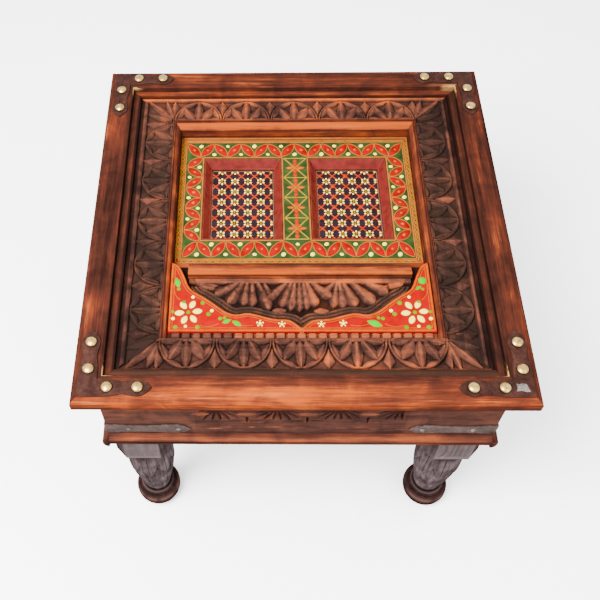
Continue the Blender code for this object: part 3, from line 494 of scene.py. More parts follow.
def palmette_row(x, t, room, inner_half, centres, seed):
    """Height of a row of palmettes, and where its kites, cut lines and ridges are.

    t is the distance out from the inner edge and room the depth of the row.
    """
    random = np.random.default_rng(seed)
    ground = -PALMETTE_CUT
    z = np.full_like(x, ground)
    kites, lines, ridges = np.zeros_like(x), np.zeros_like(x), np.zeros_like(x)
    stretch = room / PALMETTE_ROOM
    middles = [(a + b) / 2 for a, b in zip(centres, centres[1:])]
    ends = [centres[0] - PALMETTE_PERIOD / 2, centres[-1] + PALMETTE_PERIOD / 2]
    for centre, left, right in zip(centres, ends[:1] + middles, middles + ends[1:]):
        half = np.where(x < centre, centre - left, right - centre)
        dx = (x - centre) * PALMETTE_PERIOD / 2 / half
        radius = np.hypot(dx / PALMETTE_HALF_WIDTH, np.maximum(t, 0) / (room - 0.0012))
        band = np.abs(radius - ARCH_PLACE) * PALMETTE_HALF_WIDTH
        arch = ARCH_TOP - ARCH_ROUND * (band / ARCH_HALF) ** 2
        z = np.maximum(z, ground + (arch - ground) * smooth_step(ARCH_HALF + 0.0005, ARCH_HALF, band))
        lines = np.maximum(lines, smooth_step(0.0010, 0.0003, np.abs(band - ARCH_HALF - 0.0005)))
        inside = radius < BOWL_EDGE
        for side in (-1, 1):
            for start, end, width, edge, ridge in PALMETTE_LEAVES:
                shake = random.uniform(-0.0008, 0.0008, 2)
                leaf, rise = leaf_between(side * dx, t, (start[0], start[1] * stretch),
                                          (end[0] + shake[0], end[1] * stretch + shake[1]),
                                          width * random.uniform(0.93, 1.05), edge, ridge, ground)
                upper = (leaf > z) & (inside | (start[0] == 0))
                cut = smooth_step(*CUT_LINE, rise)
                if start[0] == 0:
                    cut = np.maximum(cut, 0.7 * smooth_step(0.10, 0.04, np.abs(rise - 0.50)))
                lines = np.where(upper, cut, lines)
                ridges = np.where(upper, smooth_step(*RIDGE_LINE, rise), ridges)
                z = np.where(upper, leaf, z)
    half = KITE_HALF * np.interp(t / stretch, KITE_REACHES, (0, 1, 0))
    for middle in middles + ends:
        rise = np.where((half > 0) & (np.abs(x) < inner_half + 0.004),
                        1 - np.abs(x - middle) / np.maximum(half, 1e-6), -1)
        kite = raised(rise, ground, KITE_EDGE, 0.0)
        lines = np.where(kite > z, smooth_step(0.30, 0.12, rise), lines)
        z = np.maximum(z, kite)
        # Painted light on one half of each kite and painted shade on the other; which half is lit is random
        lit = 1.0 if random.uniform() > 0.5 else 0.4
        kites = np.maximum(kites, smooth_step(0.0, 0.15, rise) * np.where(x < middle, 1.4 - lit, lit))
    for side in (-1, 1):
        for degrees, length, width in CORNER_LEAVES:
            along, across = polar(x - side * inner_half, t, side * degrees)
            rise = leaf_rise(along, across, 0.004, length, width)
            leaf = raised(rise, ground, CORNER_EDGE, CORNER_RIDGE)
            lines = np.where(leaf > z, smooth_step(*CUT_LINE, rise), lines)
            ridges = np.where(leaf > z, smooth_step(*RIDGE_LINE, rise), ridges)
            z = np.maximum(z, leaf)
    rim = np.minimum(t, room - t + 0.0006)
    z = np.maximum(z, ground + (RIM_LEVEL - ground) * smooth_step(0.0020, 0.0012, rim))
    return z, kites, lines, ridges


def frame_board(side, material):
    """One board of the carved frame: palmettes, with a bead outside them except on the front board."""
    end = side in ("front", "back")
    width = FRAME_HALF - (INNER_HALF_Y if end else INNER_HALF_X)
    inner_half = INNER_HALF_X if end else INNER_HALF_Y
    bead_zone = BEAD_ZONES[side]
    fillet = FRONT_FILLET if side == "front" else 0.0
    across = np.linspace(0, width, round(width / GRID_STEP) + 1)
    span = np.linspace(-1, 1, round(2 * FRAME_HALF / GRID_STEP) + 1)
    d, u = np.meshgrid(across, span, indexing="ij")
    x = u * (FRAME_HALF + (inner_half - FRAME_HALF) * d / width - MITRE_GAP)
    seed = 11 + SIDE_NUMBERS[side]
    room = width - bead_zone - fillet
    t = width - d - fillet
    count = int(2 * inner_half / PALMETTE_PERIOD)
    centres = [(k - (count - 1) / 2) * PALMETTE_PERIOD for k in range(count)]
    centres = FRONT_PALMETTES if side == "front" else centres
    z, kites, lines, ridges = palmette_row(x, t, room, inner_half, centres, seed)
    from_bead = (d - bead_zone + BEAD_WIDTH / 2) / (BEAD_WIDTH / 2)
    bead = -BEAD_DROP + BEAD_DROP * np.sqrt(np.clip(1 - from_bead ** 2, 0, 1))
    z = np.where(d < bead_zone, FRONT_FLAT if side == "front" else bead, z)
    z = z - 0.00035 * np.abs(unevenness(x, d, 0.009, seed)) - 0.00012 * unevenness(x, d, 0.003, seed)
    hollow, crest = carving_marks(z, 0.0013, 0.0006, 7, 3)
    carved = d > bead_zone
    # Deep ground darker: stain, and painted shade
    deep = np.maximum(hollow, 0.40 * smooth_step(-0.0036, -0.0050, z) * carved)
    hollow = np.maximum(0.85 * deep, 0.70 * lines * carved)
    # Ridges take a painted highlight, with the rubbed crests
    crest = np.maximum(0.8 * crest, 0.7 * ridges)
    marks = frame_wear_and_light(side, x, d, t, z, room, hollow, crest, kites)
    board = relief_board("palmette_board_" + side, x, d - FRAME_HALF, z + FRAME_HIGH.z, SEAT, material,
                         turned_to(TURNS[side]), marks)
    return settle(board, "carved_wood", "carved_frame_" + side)


def frame_wear_and_light(side, x, d, t, z, room, hollow, crest, kites):
    """Marks of a carved board by its side of the table: painted light and shade by height, a painted
    highlight on its outer edge and on one half of each kite, and rubbed patches.
    """
    bead_zone = BEAD_ZONES[side]
    # Painted highlight towards the outer edge, where the carving faces the light
    outward = smooth_step(room - 0.013, room - 0.002, t)
    patches = unevenness(x, d, 0.045, 11 + len(side))
    flecks = unevenness(x, d, 0.010, 31 + len(side))
    # Painted light by height: high parts lighter, low parts in painted shade, with some wear
    high = smooth_step(-0.0040, -0.0002, z) - 0.5
    on_bead = d < bead_zone
    dust = np.zeros_like(x)
    crest = crest * np.clip(0.5 + 0.9 * unevenness(x, d, 0.013, 5), 0, 1)
    kite_glow = kites * np.clip(0.9 + 1.3 * unevenness(x, d, 0.03, 21 + len(side)), 0, 2.2)
    if side == "front":
        # The front board is darker at its left end and lighter towards its right
        brighter_end = smooth_step(0.01, 0.08, x)
        lively = 0.65 + 0.35 * brighter_end
        glow = lively * (high + 0.7 * outward + 0.7 * patches + 0.7 * flecks + 0.7 * kite_glow)
        crest = lively * crest
        shade = np.where(on_bead, 1.2, 0.60 - 0.9 * brighter_end)
        hollow = np.where(on_bead, 0.6, hollow)
    elif side == "back":
        glow = high + 0.9 * outward + 0.8 * patches + 0.6 * flecks + 0.6 * kite_glow
        shade = np.where(on_bead, -0.6, 0.2)
    else:
        glow = 0.4 * high + 0.7 * patches + 0.4 * flecks - 0.2 + 0.5 * kite_glow * (patches > 0.1)
        from_bead = np.abs(d - bead_zone + BEAD_WIDTH / 2) / (BEAD_WIDTH / 2)
        glow = np.where(from_bead < 0.8, -0.3 + 0.6 * flecks, glow)
        shade = np.where(on_bead, 0.2, 0.75)
        if side == "left":
            shade = shade + 0.3 - 1.2 * smooth_step(-0.08, -0.19, x)
        hollow = 0.6 * hollow
        crest = 0.6 * crest * np.clip(0.2 + 0.9 * patches, 0, 1)
        dust = np.where(on_bead, 0.0, 0.30 * (1 - np.clip(kites, 0, 1)))
        hollow = np.where(d < bead_zone - BEAD_WIDTH, 0.8, hollow)
    crest = np.where(on_bead, 0.3 * crest, crest)
    return {"glow": glow, "shade": shade, "crest": crest, "hollow": hollow, "dust": dust}


FAN_STRIP = 0.0056
FAN_CUT = 0.0078
# Petals of the three fans: root and tip as (sideways, forward from the sill), width
FAN_PETALS = (
    ((-0.0880, 0.0045), (-0.1185, 0.0225), 0.0125), ((-0.0820, 0.0045), (-0.1010, 0.0360), 0.0150),
    ((-0.0752, 0.0045), (-0.0810, 0.0385), 0.0112), ((-0.0680, 0.0045), (-0.0680, 0.0405), 0.0112),
    ((-0.0600, 0.0045), (-0.0455, 0.0460), 0.0128), ((-0.0520, 0.0040), (-0.0430, 0.0240), 0.0100),
    ((-0.0190, 0.0045), (-0.0450, 0.0290), 0.0125), ((-0.0128, 0.0045), (-0.0262, 0.0410), 0.0124),
    ((-0.0070, 0.0045), (-0.0140, 0.0465), 0.0104), ((-0.0010, 0.0045), (-0.0020, 0.0490), 0.0104),
    ((0.0048, 0.0045), (0.0088, 0.0455), 0.0100), ((0.0095, 0.0045), (0.0205, 0.0405), 0.0128),
    ((0.0175, 0.0045), (0.0415, 0.0275), 0.0132), ((0.0500, 0.0040), (0.0330, 0.0200), 0.0090),
    ((0.0530, 0.0045), (0.0460, 0.0420), 0.0104), ((0.0560, 0.0045), (0.0595, 0.0425), 0.0112),
    ((0.0615, 0.0045), (0.0765, 0.0405), 0.0142), ((0.0740, 0.0040), (0.1020, 0.0360), 0.0158),
    ((0.0940, 0.0035), (0.1225, 0.0200), 0.0142))
PETAL_REACH = 1.08
PETAL_FULLNESS = 0.82
PETAL_CAP = 0.76
PETAL_EDGE = -0.0060
PETAL_RISE = 0.0052
# Leaves at both ends of the panel, as above, and small lids: left end, right end, forward
END_LEAVES = (((-0.150, 0.0050), (-0.112, 0.0110), 0.0085), ((-0.142, 0.0100), (-0.118, 0.0150), 0.0060),
              ((0.150, 0.0040), (0.120, 0.0110), 0.0110))
EYELIDS = ((-0.0400, -0.0190, 0.0500), (0.0185, 0.0400, 0.0505))
EYELID_WIDTH = 0.0104
# Ridges that follow the scalloped board, by their distance from it
EDGE_RIDGES = (0.0058, 0.0112, 0.0166)
RIDGE_HALF = 0.0026
RIDGE_TOP = -0.0034
RIDGE_ROUND = 0.0024
RIDGE_ZONE = 0.0135
# Brightness along the fans: places from left to right, and how much lighter or darker each is
FAN_BRIGHTNESS = ((-0.12, -0.06, 0.0, 0.04, 0.09), (-0.9, -0.8, -0.6, 0.4, 1.1))


def fan_relief(x, t, gap):
    """Height and tone of the fan panel, with painted light on its petals, its cut lines and ridges, and
    where it lies plain.

    t is the distance forward from the sill and gap the distance from the scalloped board.
    """
    random = np.random.default_rng(31)
    ground = -FAN_CUT
    z = np.where(t < FAN_STRIP, 0.0, ground)
    lit_tone, lines, ridges = np.zeros_like(x), np.zeros_like(x), np.zeros_like(x)
    carved = t > FAN_STRIP - 0.001
    for root, tip, width in FAN_PETALS:
        run = np.subtract(tip, root)
        aim = run / math.hypot(*run)
        length = PETAL_REACH * math.hypot(*run)
        along = (x - root[0]) * aim[0] + (t - root[1]) * aim[1]
        across = (x - root[0]) * aim[1] - (t - root[1]) * aim[0]
        part = np.clip(along / length, 0, 1)
        cap = np.sqrt(np.clip(1 - (np.maximum(part - PETAL_CAP, 0) / (1 - PETAL_CAP)) ** 2, 0, 1))
        half = PETAL_FULLNESS * width * np.interp(part, (0, 0.75), (0.40, 1.0)) * cap
        rise = np.where((along > 0) & carved, 1 - (across / np.maximum(half, 1e-6)) ** 2, -1)
        dome = PETAL_EDGE + PETAL_RISE * np.clip(rise, 0, 1) ** 0.8 - 0.0010 * part
        petal = np.where(rise > 0, dome, ground)
        # Each petal: a random tone, a painted highlight along its ridge, one half painted lit and the other
        # shaded
        own = random.uniform(-0.8, 0.6) * (0.4 + 0.6 * part) + 1.5 * np.clip(rise, 0, 1) ** 2 - 0.9
        own = own + 0.8 * np.clip(2.5 * across / np.maximum(half, 1e-6), -1, 1)
        lit_tone = np.where(petal > z, own, lit_tone)
        lines = np.where(petal > z, smooth_step(0.66, 0.24, rise), lines)
        ridges = np.where(petal > z, smooth_step(0.86, 0.97, rise), ridges)
        z = np.maximum(z, petal)
    for start, end, width in END_LEAVES:
        leaf, _ = leaf_between(x, t, start, end, width, -0.0034, -0.0008, ground)
        leaf = np.where(carved, leaf, ground)
        lit_tone = np.where(leaf > z, 0.8, lit_tone)
        z = np.maximum(z, leaf)
    for left, right, level in EYELIDS:
        leaf, _ = leaf_between(x, t, (left, level), (right, level), EYELID_WIDTH, -0.0054, -0.0026, ground)
        lit_tone = np.where(leaf > z, 2.0, lit_tone)
        z = np.maximum(z, leaf)
    plain = (z < ground + 0.0004) | (gap < RIDGE_ZONE)
    for distance in EDGE_RIDGES:
        off_ridge = np.abs(gap - distance)
        ridge = RIDGE_TOP - RIDGE_ROUND * (off_ridge / RIDGE_HALF) ** 2
        beside = (off_ridge < RIDGE_HALF) & (t > 0.010) & plain
        z = np.maximum(z, np.where(beside, ridge, ground))
    return z, lit_tone, lines, ridges, plain


def make_fan_panel(material):
    """The carved fans: dark in their cuts, lighter towards the right, with painted shadow along the
    scalloped board and beside the sill's ends, darker and greyer by the board.
    """
    x, y = np.meshgrid(np.linspace(FAN_LOW.x, FAN_HIGH.x, 409), np.linspace(FAN_LOW.y, FAN_HIGH.y, 131))
    t = SILL_LOW.y - y
    edge = np.array(resampled(scallop_outline()[2:], 0.003))
    gap = np.min(np.hypot(x[..., None] - edge[:, 0], y[..., None] - edge[:, 1]), axis=-1)
    z, lit_tone, lines, ridges, plain = fan_relief(x, t, gap)
    beside_sill = (np.abs(x) > SILL_HIGH.x - 0.001) & (t < 0.012)
    z = np.where(t < -0.001, 0.0, z)
    z = np.where(beside_sill, -FAN_CUT, z)
    rough = np.where(t > 0, 0.0005 * np.abs(unevenness(x, y, 0.006, 5)), 0)
    z = soften(z - rough, 1)
    hollow, crest = carving_marks(z, 0.0016, 0.0007, 8, 3)
    crest = crest * np.clip(0.35 + 0.8 * unevenness(x, y, 0.015, 6), 0, 1)
    carved = t > FAN_STRIP
    # Painted highlight along the petals' ridges
    crest = np.maximum(crest, 0.45 * ridges * carved)
    below = smooth_step(0.0210, 0.0190, gap) * plain
    # Deep ground darker: stain, and painted shade
    cut = smooth_step(-0.0056, -0.0068, z) * carved
    # Painted shadow of the scalloped board on the panel beside it
    board_shadow = smooth_step(0.0045, 0.0025, gap)
    for dark in (0.85 * lines * carved, 0.92 * cut, 0.95 * board_shadow):
        hollow = np.maximum(hollow, dark)
    # Painted shadow beside the ends of the sill
    hollow = np.where(beside_sill, 0.8, hollow)
    root = smooth_step(0.030, 0.006, t)
    brightness = np.interp(x, *FAN_BRIGHTNESS)
    mottle = 0.5 * unevenness(x, y, 0.012, 9) + 0.5 * unevenness(x, y, 0.004, 12)
    glow = (0.5 * root + 0.8 * lit_tone + brightness + mottle) * (1 - below)
    strip = 1.3 + 0.6 * brightness + 0.7 * unevenness(x, y, 0.02, 10)
    glow = np.where((t > 0) & (t < FAN_STRIP), strip, glow)
    marks = {"hollow": hollow, "crest": crest, "glow": glow, "shade": 0.3 * below, "dust": 0.6 * below}
    panel = relief_board("fan_carving", x, y, z + FAN_HIGH.z, FAN_LOW.z, material, Matrix(), marks)
    settle(panel, "carved_wood", "fan_panel")


ROSETTES = (-0.118, -0.033, 0.052, 0.137)
FRIEZE_HALF = 0.143
FRIEZE_DROP = 0.080
FRIEZE_HEIGHT = 0.044
CHIP_DROP = 0.094
# Middles of the long chips under the frieze: one before the first rosette, the rest between rosettes
ROSETTE_GAPS = [(left + right) / 2 for left, right in zip(ROSETTES, ROSETTES[1:])]
LONG_CHIPS = [ROSETTES[0] - 0.0225] + ROSETTE_GAPS
CHIP_CUT = 0.0012
SMALL_CHIPS = 14
ROSETTE_CUT = 0.0042
ROSETTE_LEAVES = 18
ROSETTE_SHORT = 0.030
ROSETTE_LONG = 0.044
ROSETTE_LEAF_WIDTH = 0.0092


def apron_relief(x, drop, seed):
    """Height of an apron's face and where it is chipped: leaves cut round hubs, with notches between."""
    random = np.random.default_rng(seed)
    chips = np.zeros_like(x)
    z = np.zeros_like(x)
    frieze = np.abs(x) < FRIEZE_HALF
    up = FRIEZE_DROP - drop
    for centre in ROSETTES:
        for k in range(ROSETTE_LEAVES):
            degrees = 360 * (k + 0.5) / ROSETTE_LEAVES
            level = abs(math.sin(math.radians(degrees)))
            length = ROSETTE_SHORT + (ROSETTE_LONG - ROSETTE_SHORT) * level
            along, across = polar(x - centre, up, degrees)
            rise = leaf_rise(along, across, 0.004, length, ROSETTE_LEAF_WIDTH)
            z = np.minimum(z, -ROSETTE_CUT * np.clip(rise, 0, 1))
        hub = np.hypot(x - centre, up)
        z = np.minimum(z, -0.003 * smooth_step(0.005, 0.003, hub))
    for middle in ROSETTE_GAPS:
        rise = leaf_rise(drop - CHIP_DROP, x - middle, 0.008, 0.028, 0.007)
        z = np.minimum(z, -ROSETTE_CUT * np.clip(rise, 0, 1))
        for side in (-1, 1):
            rise = leaf_rise(side * (x - middle), drop - FRIEZE_DROP - 0.037, 0.002, 0.024, 0.008)
            z = np.minimum(z, -0.003 * np.clip(rise, 0, 1))
    z = np.where(frieze & (np.abs(up) < FRIEZE_HEIGHT), z, 0)
    for middle in LONG_CHIPS:
        rise = leaf_rise(x - middle, drop - CHIP_DROP, -0.0135, 0.0135, 0.0110)
        z = np.where(rise > 0, -CHIP_CUT * np.clip(rise, 0, 1), z)
        chips = np.maximum(chips, smooth_step(0.0, 0.35, rise))
    for k in range(SMALL_CHIPS):
        centre = -0.135 + 0.0208 * k + random.uniform(-0.005, 0.005)
        length = random.uniform(0.010, 0.026)
        rise = leaf_rise(x - centre, drop - random.uniform(0.136, 0.147), 0, length, 0.006)
        z = np.minimum(z, -CHIP_CUT * np.clip(rise, 0, 1))
        chips = np.maximum(chips, random.uniform(0.2, 1.0) * smooth_step(0.0, 0.35, rise))
    return z - 0.0003 * np.abs(unevenness(x, drop, 0.02, seed)), chips


def make_apron(side, material):
    """One apron board, with dark cuts, a stained frieze and a dark upper edge of painted shade under the
    top.
    """
    v, u = np.meshgrid(np.linspace(0, APRON_HIGH.z - APRON_LOW.z, 125), np.linspace(-1, 1, 401),
                       indexing="ij")
    seed = 50 + SIDE_NUMBERS[side]
    x = u * (APRON_HALF - MITRE_GAP)
    drop = TOP - APRON_LOW.z - v
    z, chips = apron_relief(x, drop, seed)
    hollow, crest = carving_marks(z, 0.0016, 0.0006, 10, 4)
    stained = np.where(np.abs(x) < 0.15, 0.6, 0.1)
    # The upper edge is darker as painted shade under the top's overhang; the frieze is stained
    marks = {"hollow": np.maximum(0.8 * hollow, 0.68 * smooth_step(-0.0013, -0.0030, z)),
             "crest": crest * np.clip(0.2 + 0.8 * unevenness(x, drop, 0.02, seed + 3), 0, 1),
             "glow": 0.4 * unevenness(x, drop * 6, 0.05, seed + 5) + 2.0 * chips,
             "shade": 0.15 + 0.75 * smooth_step(0.060, 0.030, drop) + stained}
    stand = (turned_to(TURNS[side]) @ Matrix.Translation((0, -APRON_HALF, APRON_LOW.z))
             @ Matrix.Rotation(math.pi / 2, 4, "X"))
    depth = APRON_HIGH.y - APRON_LOW.y
    board = relief_board("frieze_board_" + side, x, v, z, -depth, material, Matrix(), marks)
    taper_back(board, depth, stand)
    settle(board, "apron_wood", "apron_" + side)


def taper_back(board, depth, stand):
    """Mitre a board's ends: its back is shorter than its face. Then stand it in its place."""
    points = read_points(board)
    lower = points[:, 2] < -depth + 1e-5
    points[lower, 0] *= (APRON_HALF - depth) / APRON_HALF
    write_points(board, moved(points, stand))


# Lengths of moulding

def resampled(path, step):
    """Points along a polyline, no further apart than step, with its corners kept."""
    points = []
    for (ax, ay), (bx, by) in zip(path, path[1:]):
        parts = max(1, math.ceil(math.hypot(bx - ax, by - ay) / step))
        points += [(ax + (bx - ax) * i / parts, ay + (by - ay) * i / parts) for i in range(parts)]
    return points + [path[-1]]


def arc(centre, radii, start, end, steps):
    """Points on an ellipse between two angles in degrees."""
    angles = [math.radians(start + (end - start) * i / steps) for i in range(steps + 1)]
    return [(centre[0] + radii[0] * math.cos(a), centre[1] + radii[1] * math.sin(a)) for a in angles]


def moulding(name, profile, ends, columns, material, place, tone=None):
    """Length of moulding along X: profile of (y, z) points, ends gives the half length at each y."""
    profile = np.array(profile)
    half = np.array([ends(y) for y in profile[:, 0]])
    x = np.linspace(-1, 1, columns)[:, None] * half[None, :]
    y = np.broadcast_to(profile[:, 0], x.shape)
    z = np.broadcast_to(profile[:, 1], x.shape)
    points = np.stack([x, y, z], -1).reshape(-1, 3)
    faces = tube_faces(np.arange(len(points)).reshape(columns, -1))
    marks = tone(x.ravel(), y.ravel(), z.ravel()) if tone else None
    return build_piece(name, moved(points, place), faces, material, marks, 40)


RAIL_TOP_WIDTH = 0.040
REBATE_DEPTH = 0.009
NOSING_WIDTH = 0.011
NOSING_DROP = 0.008
# Stretches of painted sheen (+) and darker stretches (-) of each rail: place along it from its left end,
# reach, strength
RAIL_SHEEN_STRETCHES = {
    "front": ((0.18, 0.09, 1.0), (0.35, 0.07, 1.0), (0.03, 0.04, 0.4), (0.50, 0.09, -1.1)),
    "left": ((0.125, 0.040, 1.2), (0.470, 0.034, 1.5), (0.34, 0.09, -0.5)),
    "back": ((0.13, 0.09, -0.4), (0.50, 0.07, 0.5)),
    "right": ((0.285, 0.032, 0.9), (0.150, 0.035, 0.5), (0.38, 0.07, -0.2)),
}
# Tone of each rail on its nosing, along its middle and beside the rebate
RAIL_TONES = {"front": (1.3, 1.4, -0.2), "left": (0.0, -0.3, -0.7), "back": (0.8, 0.4, -0.1),
              "right": (-0.3, -0.1, -0.6)}
# Extra stain on the ledge of the rebate, and dust on it
LEDGE_TONES = {"front": (0.4, 0.55), "left": (0.3, 0.1), "back": (-0.8, 0.0), "right": (0.4, 0.1)}
# Painted shadow on the wall of the rebate, and along the frame
LEDGE_SHADOWS = {"front": (0.8, 0.35), "left": (0.8, 0.9), "back": (0.25, 0.7), "right": (0.8, 0.9)}
# Bare wood at one end of the back rail: reach along the rail and onto its top
BARE_REACH = (0.050, 0.005)


def rail_tone(side):
    """Stain of a rail: dark along its inner edge, painted shade below its top, painted shadow lines in the
    rebate, painted sheen in some stretches.
    """
    seed = 70 + SIDE_NUMBERS[side]

    def tone(x, y, z):
        inset = y + HALF
        across = np.interp(inset, (0.004, 0.016, 0.037), RAIL_TONES[side])
        glow = across + 0.40 * unevenness(x, inset * 14, 0.09, seed)
        # Painted sheen along a band beside the nosing, strongest in the listed stretches
        ridge = np.exp(-((inset - 0.015) / 0.013) ** 2)
        for place, reach, strength in RAIL_SHEEN_STRETCHES[side]:
            glow = glow + strength * ridge * np.exp(-((x + HALF - place) / reach) ** 2)
        ledge = np.where(inset > RAIL_TOP_WIDTH + 0.0005, 1.0, 0.0)
        wall = np.where(np.abs(inset - RAIL_TOP_WIDTH) < 0.0006, 1.0, 0.0)
        # Painted shade on the nosing's underside and the rail's lower faces
        below = smooth_step(TOP - 0.012, TOP - 0.019, z) * (1 - ledge)
        ledge_tone = LEDGE_TONES[side][0] + 0.4 * unevenness(x, y * 10, 0.05, seed + 9)
        shade = np.where(ledge > 0, ledge_tone, 0.9 * below)
        # Painted shadow lines: at the foot of the rebate's wall and in the gap beside the frame
        gap = smooth_step(0.0036, 0.0022, -LEDGE_HALF - y) * ledge
        shadows = LEDGE_SHADOWS[side]
        hollow = np.maximum(shadows[0] * wall * smooth_step(TOP - 0.001, TOP - 0.004, z), shadows[1] * gap)
        corner = HALF - RAIL_TOP_WIDTH - np.abs(x)
        chip = smooth_step(0.016, 0.004, corner + 0.012 * unevenness(x, 5 * z + y, 0.003, seed))
        bare = np.where(np.abs(inset - RAIL_TOP_WIDTH) < 0.0011, chip, 0) * smooth_step(TOP - 0.008, TOP, z)
        if side == "back":
            along = smooth_step(BARE_REACH[0], 0.3 * BARE_REACH[0], x + HALF - RAIL_TOP_WIDTH)
            onto = smooth_step(BARE_REACH[1], 0.5 * BARE_REACH[1], RAIL_TOP_WIDTH - inset)
            worn = along * onto * np.clip(0.6 + unevenness(x, inset * 6, 0.012, seed), 0, 1)
            bare = np.maximum(bare, np.where(ledge > 0, 0.0, 0.45 * worn))
        return {"glow": np.where(ledge > 0, 0.0, glow), "shade": shade, "hollow": hollow,
                "bare": 0.8 * bare, "dust": ledge * LEDGE_TONES[side][1]}

    return tone


def make_rails(woods):
    """Rails with a round nosing, eased arrises and a rebate."""
    face = -HALF
    profile = [(face + 0.0015, RAIL_BOTTOM), (face, RAIL_BOTTOM + 0.0015)]
    profile += arc((face + NOSING_WIDTH, TOP - NOSING_DROP), (NOSING_WIDTH, NOSING_DROP), 180, 90, 10)
    lip = face + RAIL_TOP_WIDTH
    profile += arc((lip - 0.0012, TOP - 0.0012), (0.0012, 0.0012), 90, 0, 3)
    profile += [(lip, TOP - REBATE_DEPTH), (-LEDGE_HALF, TOP - REBATE_DEPTH)]
    profile += [(-LEDGE_HALF, RAIL_BOTTOM)]
    profile = resampled(profile, 0.0022)
    for side, turn in TURNS.items():
        rail = moulding("rail_" + side, profile, lambda y: -y - MITRE_GAP, 220, woods[GRAIN[side]],
                        turned_to(turn), rail_tone(side))
        settle(rail, "rail_wood", "top_rail_" + side)


# Lip, quirk and slope of a well moulding
LIP_WIDTH = 0.0032
QUIRK_PLACE = 0.0036
SLOPE_DROP = 0.0085


def make_inner_mouldings(woods):
    """Sloped mouldings round the well, with a quirk under their lip."""
    for side in ("back", "left", "right"):
        low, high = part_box("inner_moulding_" + side)
        back = side == "back"
        outer = -high.y if back else -max(abs(low.x), abs(high.x))
        width = high.y - low.y if back else high.x - low.x
        profile = [(outer, low.z), (outer, high.z - 0.0008), (outer + 0.0008, high.z)]
        profile += [(outer + LIP_WIDTH, high.z), (outer + QUIRK_PLACE, high.z - 0.0012)]
        profile += arc((outer + 0.0042, high.z - SLOPE_DROP), (width - 0.0050, 0.0073), 90, 8, 7)
        profile += [(outer + width, high.z - SLOPE_DROP), (outer + width, low.z)]
        profile = resampled(profile, 0.004)
        # The back moulding faces the light, so its painted highlight is stronger
        tone = moulding_tone(outer, width, high.z, 2.7 if back else 0.9, 90 + len(side))
        if back:
            half = (high.x - low.x) / 2
            slope = (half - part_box("inner_moulding_right")[0].x) / width
            piece = moulding("well_moulding_back", profile, lambda y: half - (y - outer) * slope,
                             120, woods["X"], turned_to(math.pi), tone)
        else:
            piece = side_moulding(side, profile, outer, width, low, high, woods["Y"], tone)
        settle(piece, "rail_wood", "inner_moulding_" + side)


def side_moulding(side, profile, outer, width, low, high, material, tone):
    """A side moulding: square in front, mitred at the back."""
    back_low, back_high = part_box("inner_moulding_back")
    slope = (back_high.y - back_low.y) / width
    piece = moulding("well_moulding_" + side, profile, lambda y: 1.0, 120, material, Matrix(), tone)
    along, across, height = read_points(piece).T
    far = high.y - (across - outer) * slope
    length = low.y + (far - low.y) * (along + 1) / 2
    if side == "left":
        piece.data.flip_normals()
    write_points(piece, np.stack([-across if side == "right" else across, length, height], -1))
    return piece


def moulding_tone(outer, width, top, strength, seed):
    """Stain of a well moulding: painted highlight on its slope and inner face, dark in its quirk, painted
    shade just below its slope's edge and at the foot of its inner face.
    """
    def tone(x, y, z):
        part = (y - outer) / width
        slope = smooth_step(0.2, 0.4, part) * smooth_step(top - 0.0095, top - 0.006, z)
        wall = smooth_step(top - 0.0100, top - 0.0115, z)
        glow = strength * (slope + 0.35 * wall) + 0.5 * unevenness(x, y * 8, 0.06, seed)
        quirk = smooth_step(0.0008, 0.0003, np.abs(y - outer - QUIRK_PLACE))
        line = smooth_step(0.0018, 0.0008, np.abs(z - top + 0.0098)) * (part > 0.5)
        foot = smooth_step(top - 0.0205, top - 0.0225, z)
        return {"glow": glow, "hollow": np.maximum(0.7 * quirk, 0.7 * np.maximum(line, foot))}

    return tone


def make_sill(woods):
    """Moulding in front of the painted panel: a broad slope, a quirk and a thin bead in front."""
    low, high = SILL_LOW, SILL_HIGH
    front, back = low.y, high.y
    profile = [(front, low.z)]
    profile += arc((front + 0.0013, low.z + 0.0026), (0.0013, 0.0013), 180, 30, 5)
    profile += [(front + 0.0027, low.z + 0.0026), (front + 0.0035, low.z + 0.0030)]
    profile += arc((front + 0.0055, high.z - 0.0020), (0.002, 0.002), 180, 80, 4)
    profile += [(back - 0.003, low.z + 0.0034), (back, low.z + 0.0022), (back, low.z)]

    def tone(x, y, z):
        # Painted shade in the groove behind the bead, and a painted highlight growing towards the sill's
        # front edge
        groove = smooth_step(0.0011, 0.0005, np.abs(y - front - 0.0031)) * (z < low.z + 0.0042)
        rise = smooth_step(back, front + 0.008, y)
        glow = 0.1 + 2.2 * rise + 0.6 * unevenness(x, y * 9, 0.05, 95)
        bead = y < front + 0.003
        return {"glow": np.where(bead, 0.2, glow), "hollow": 0.97 * groove}

    piece = moulding("sill", resampled(profile, 0.0016), lambda y: high.x, 120, woods["X"], Matrix(), tone)
    settle(piece, "rail_wood", "sill_moulding")


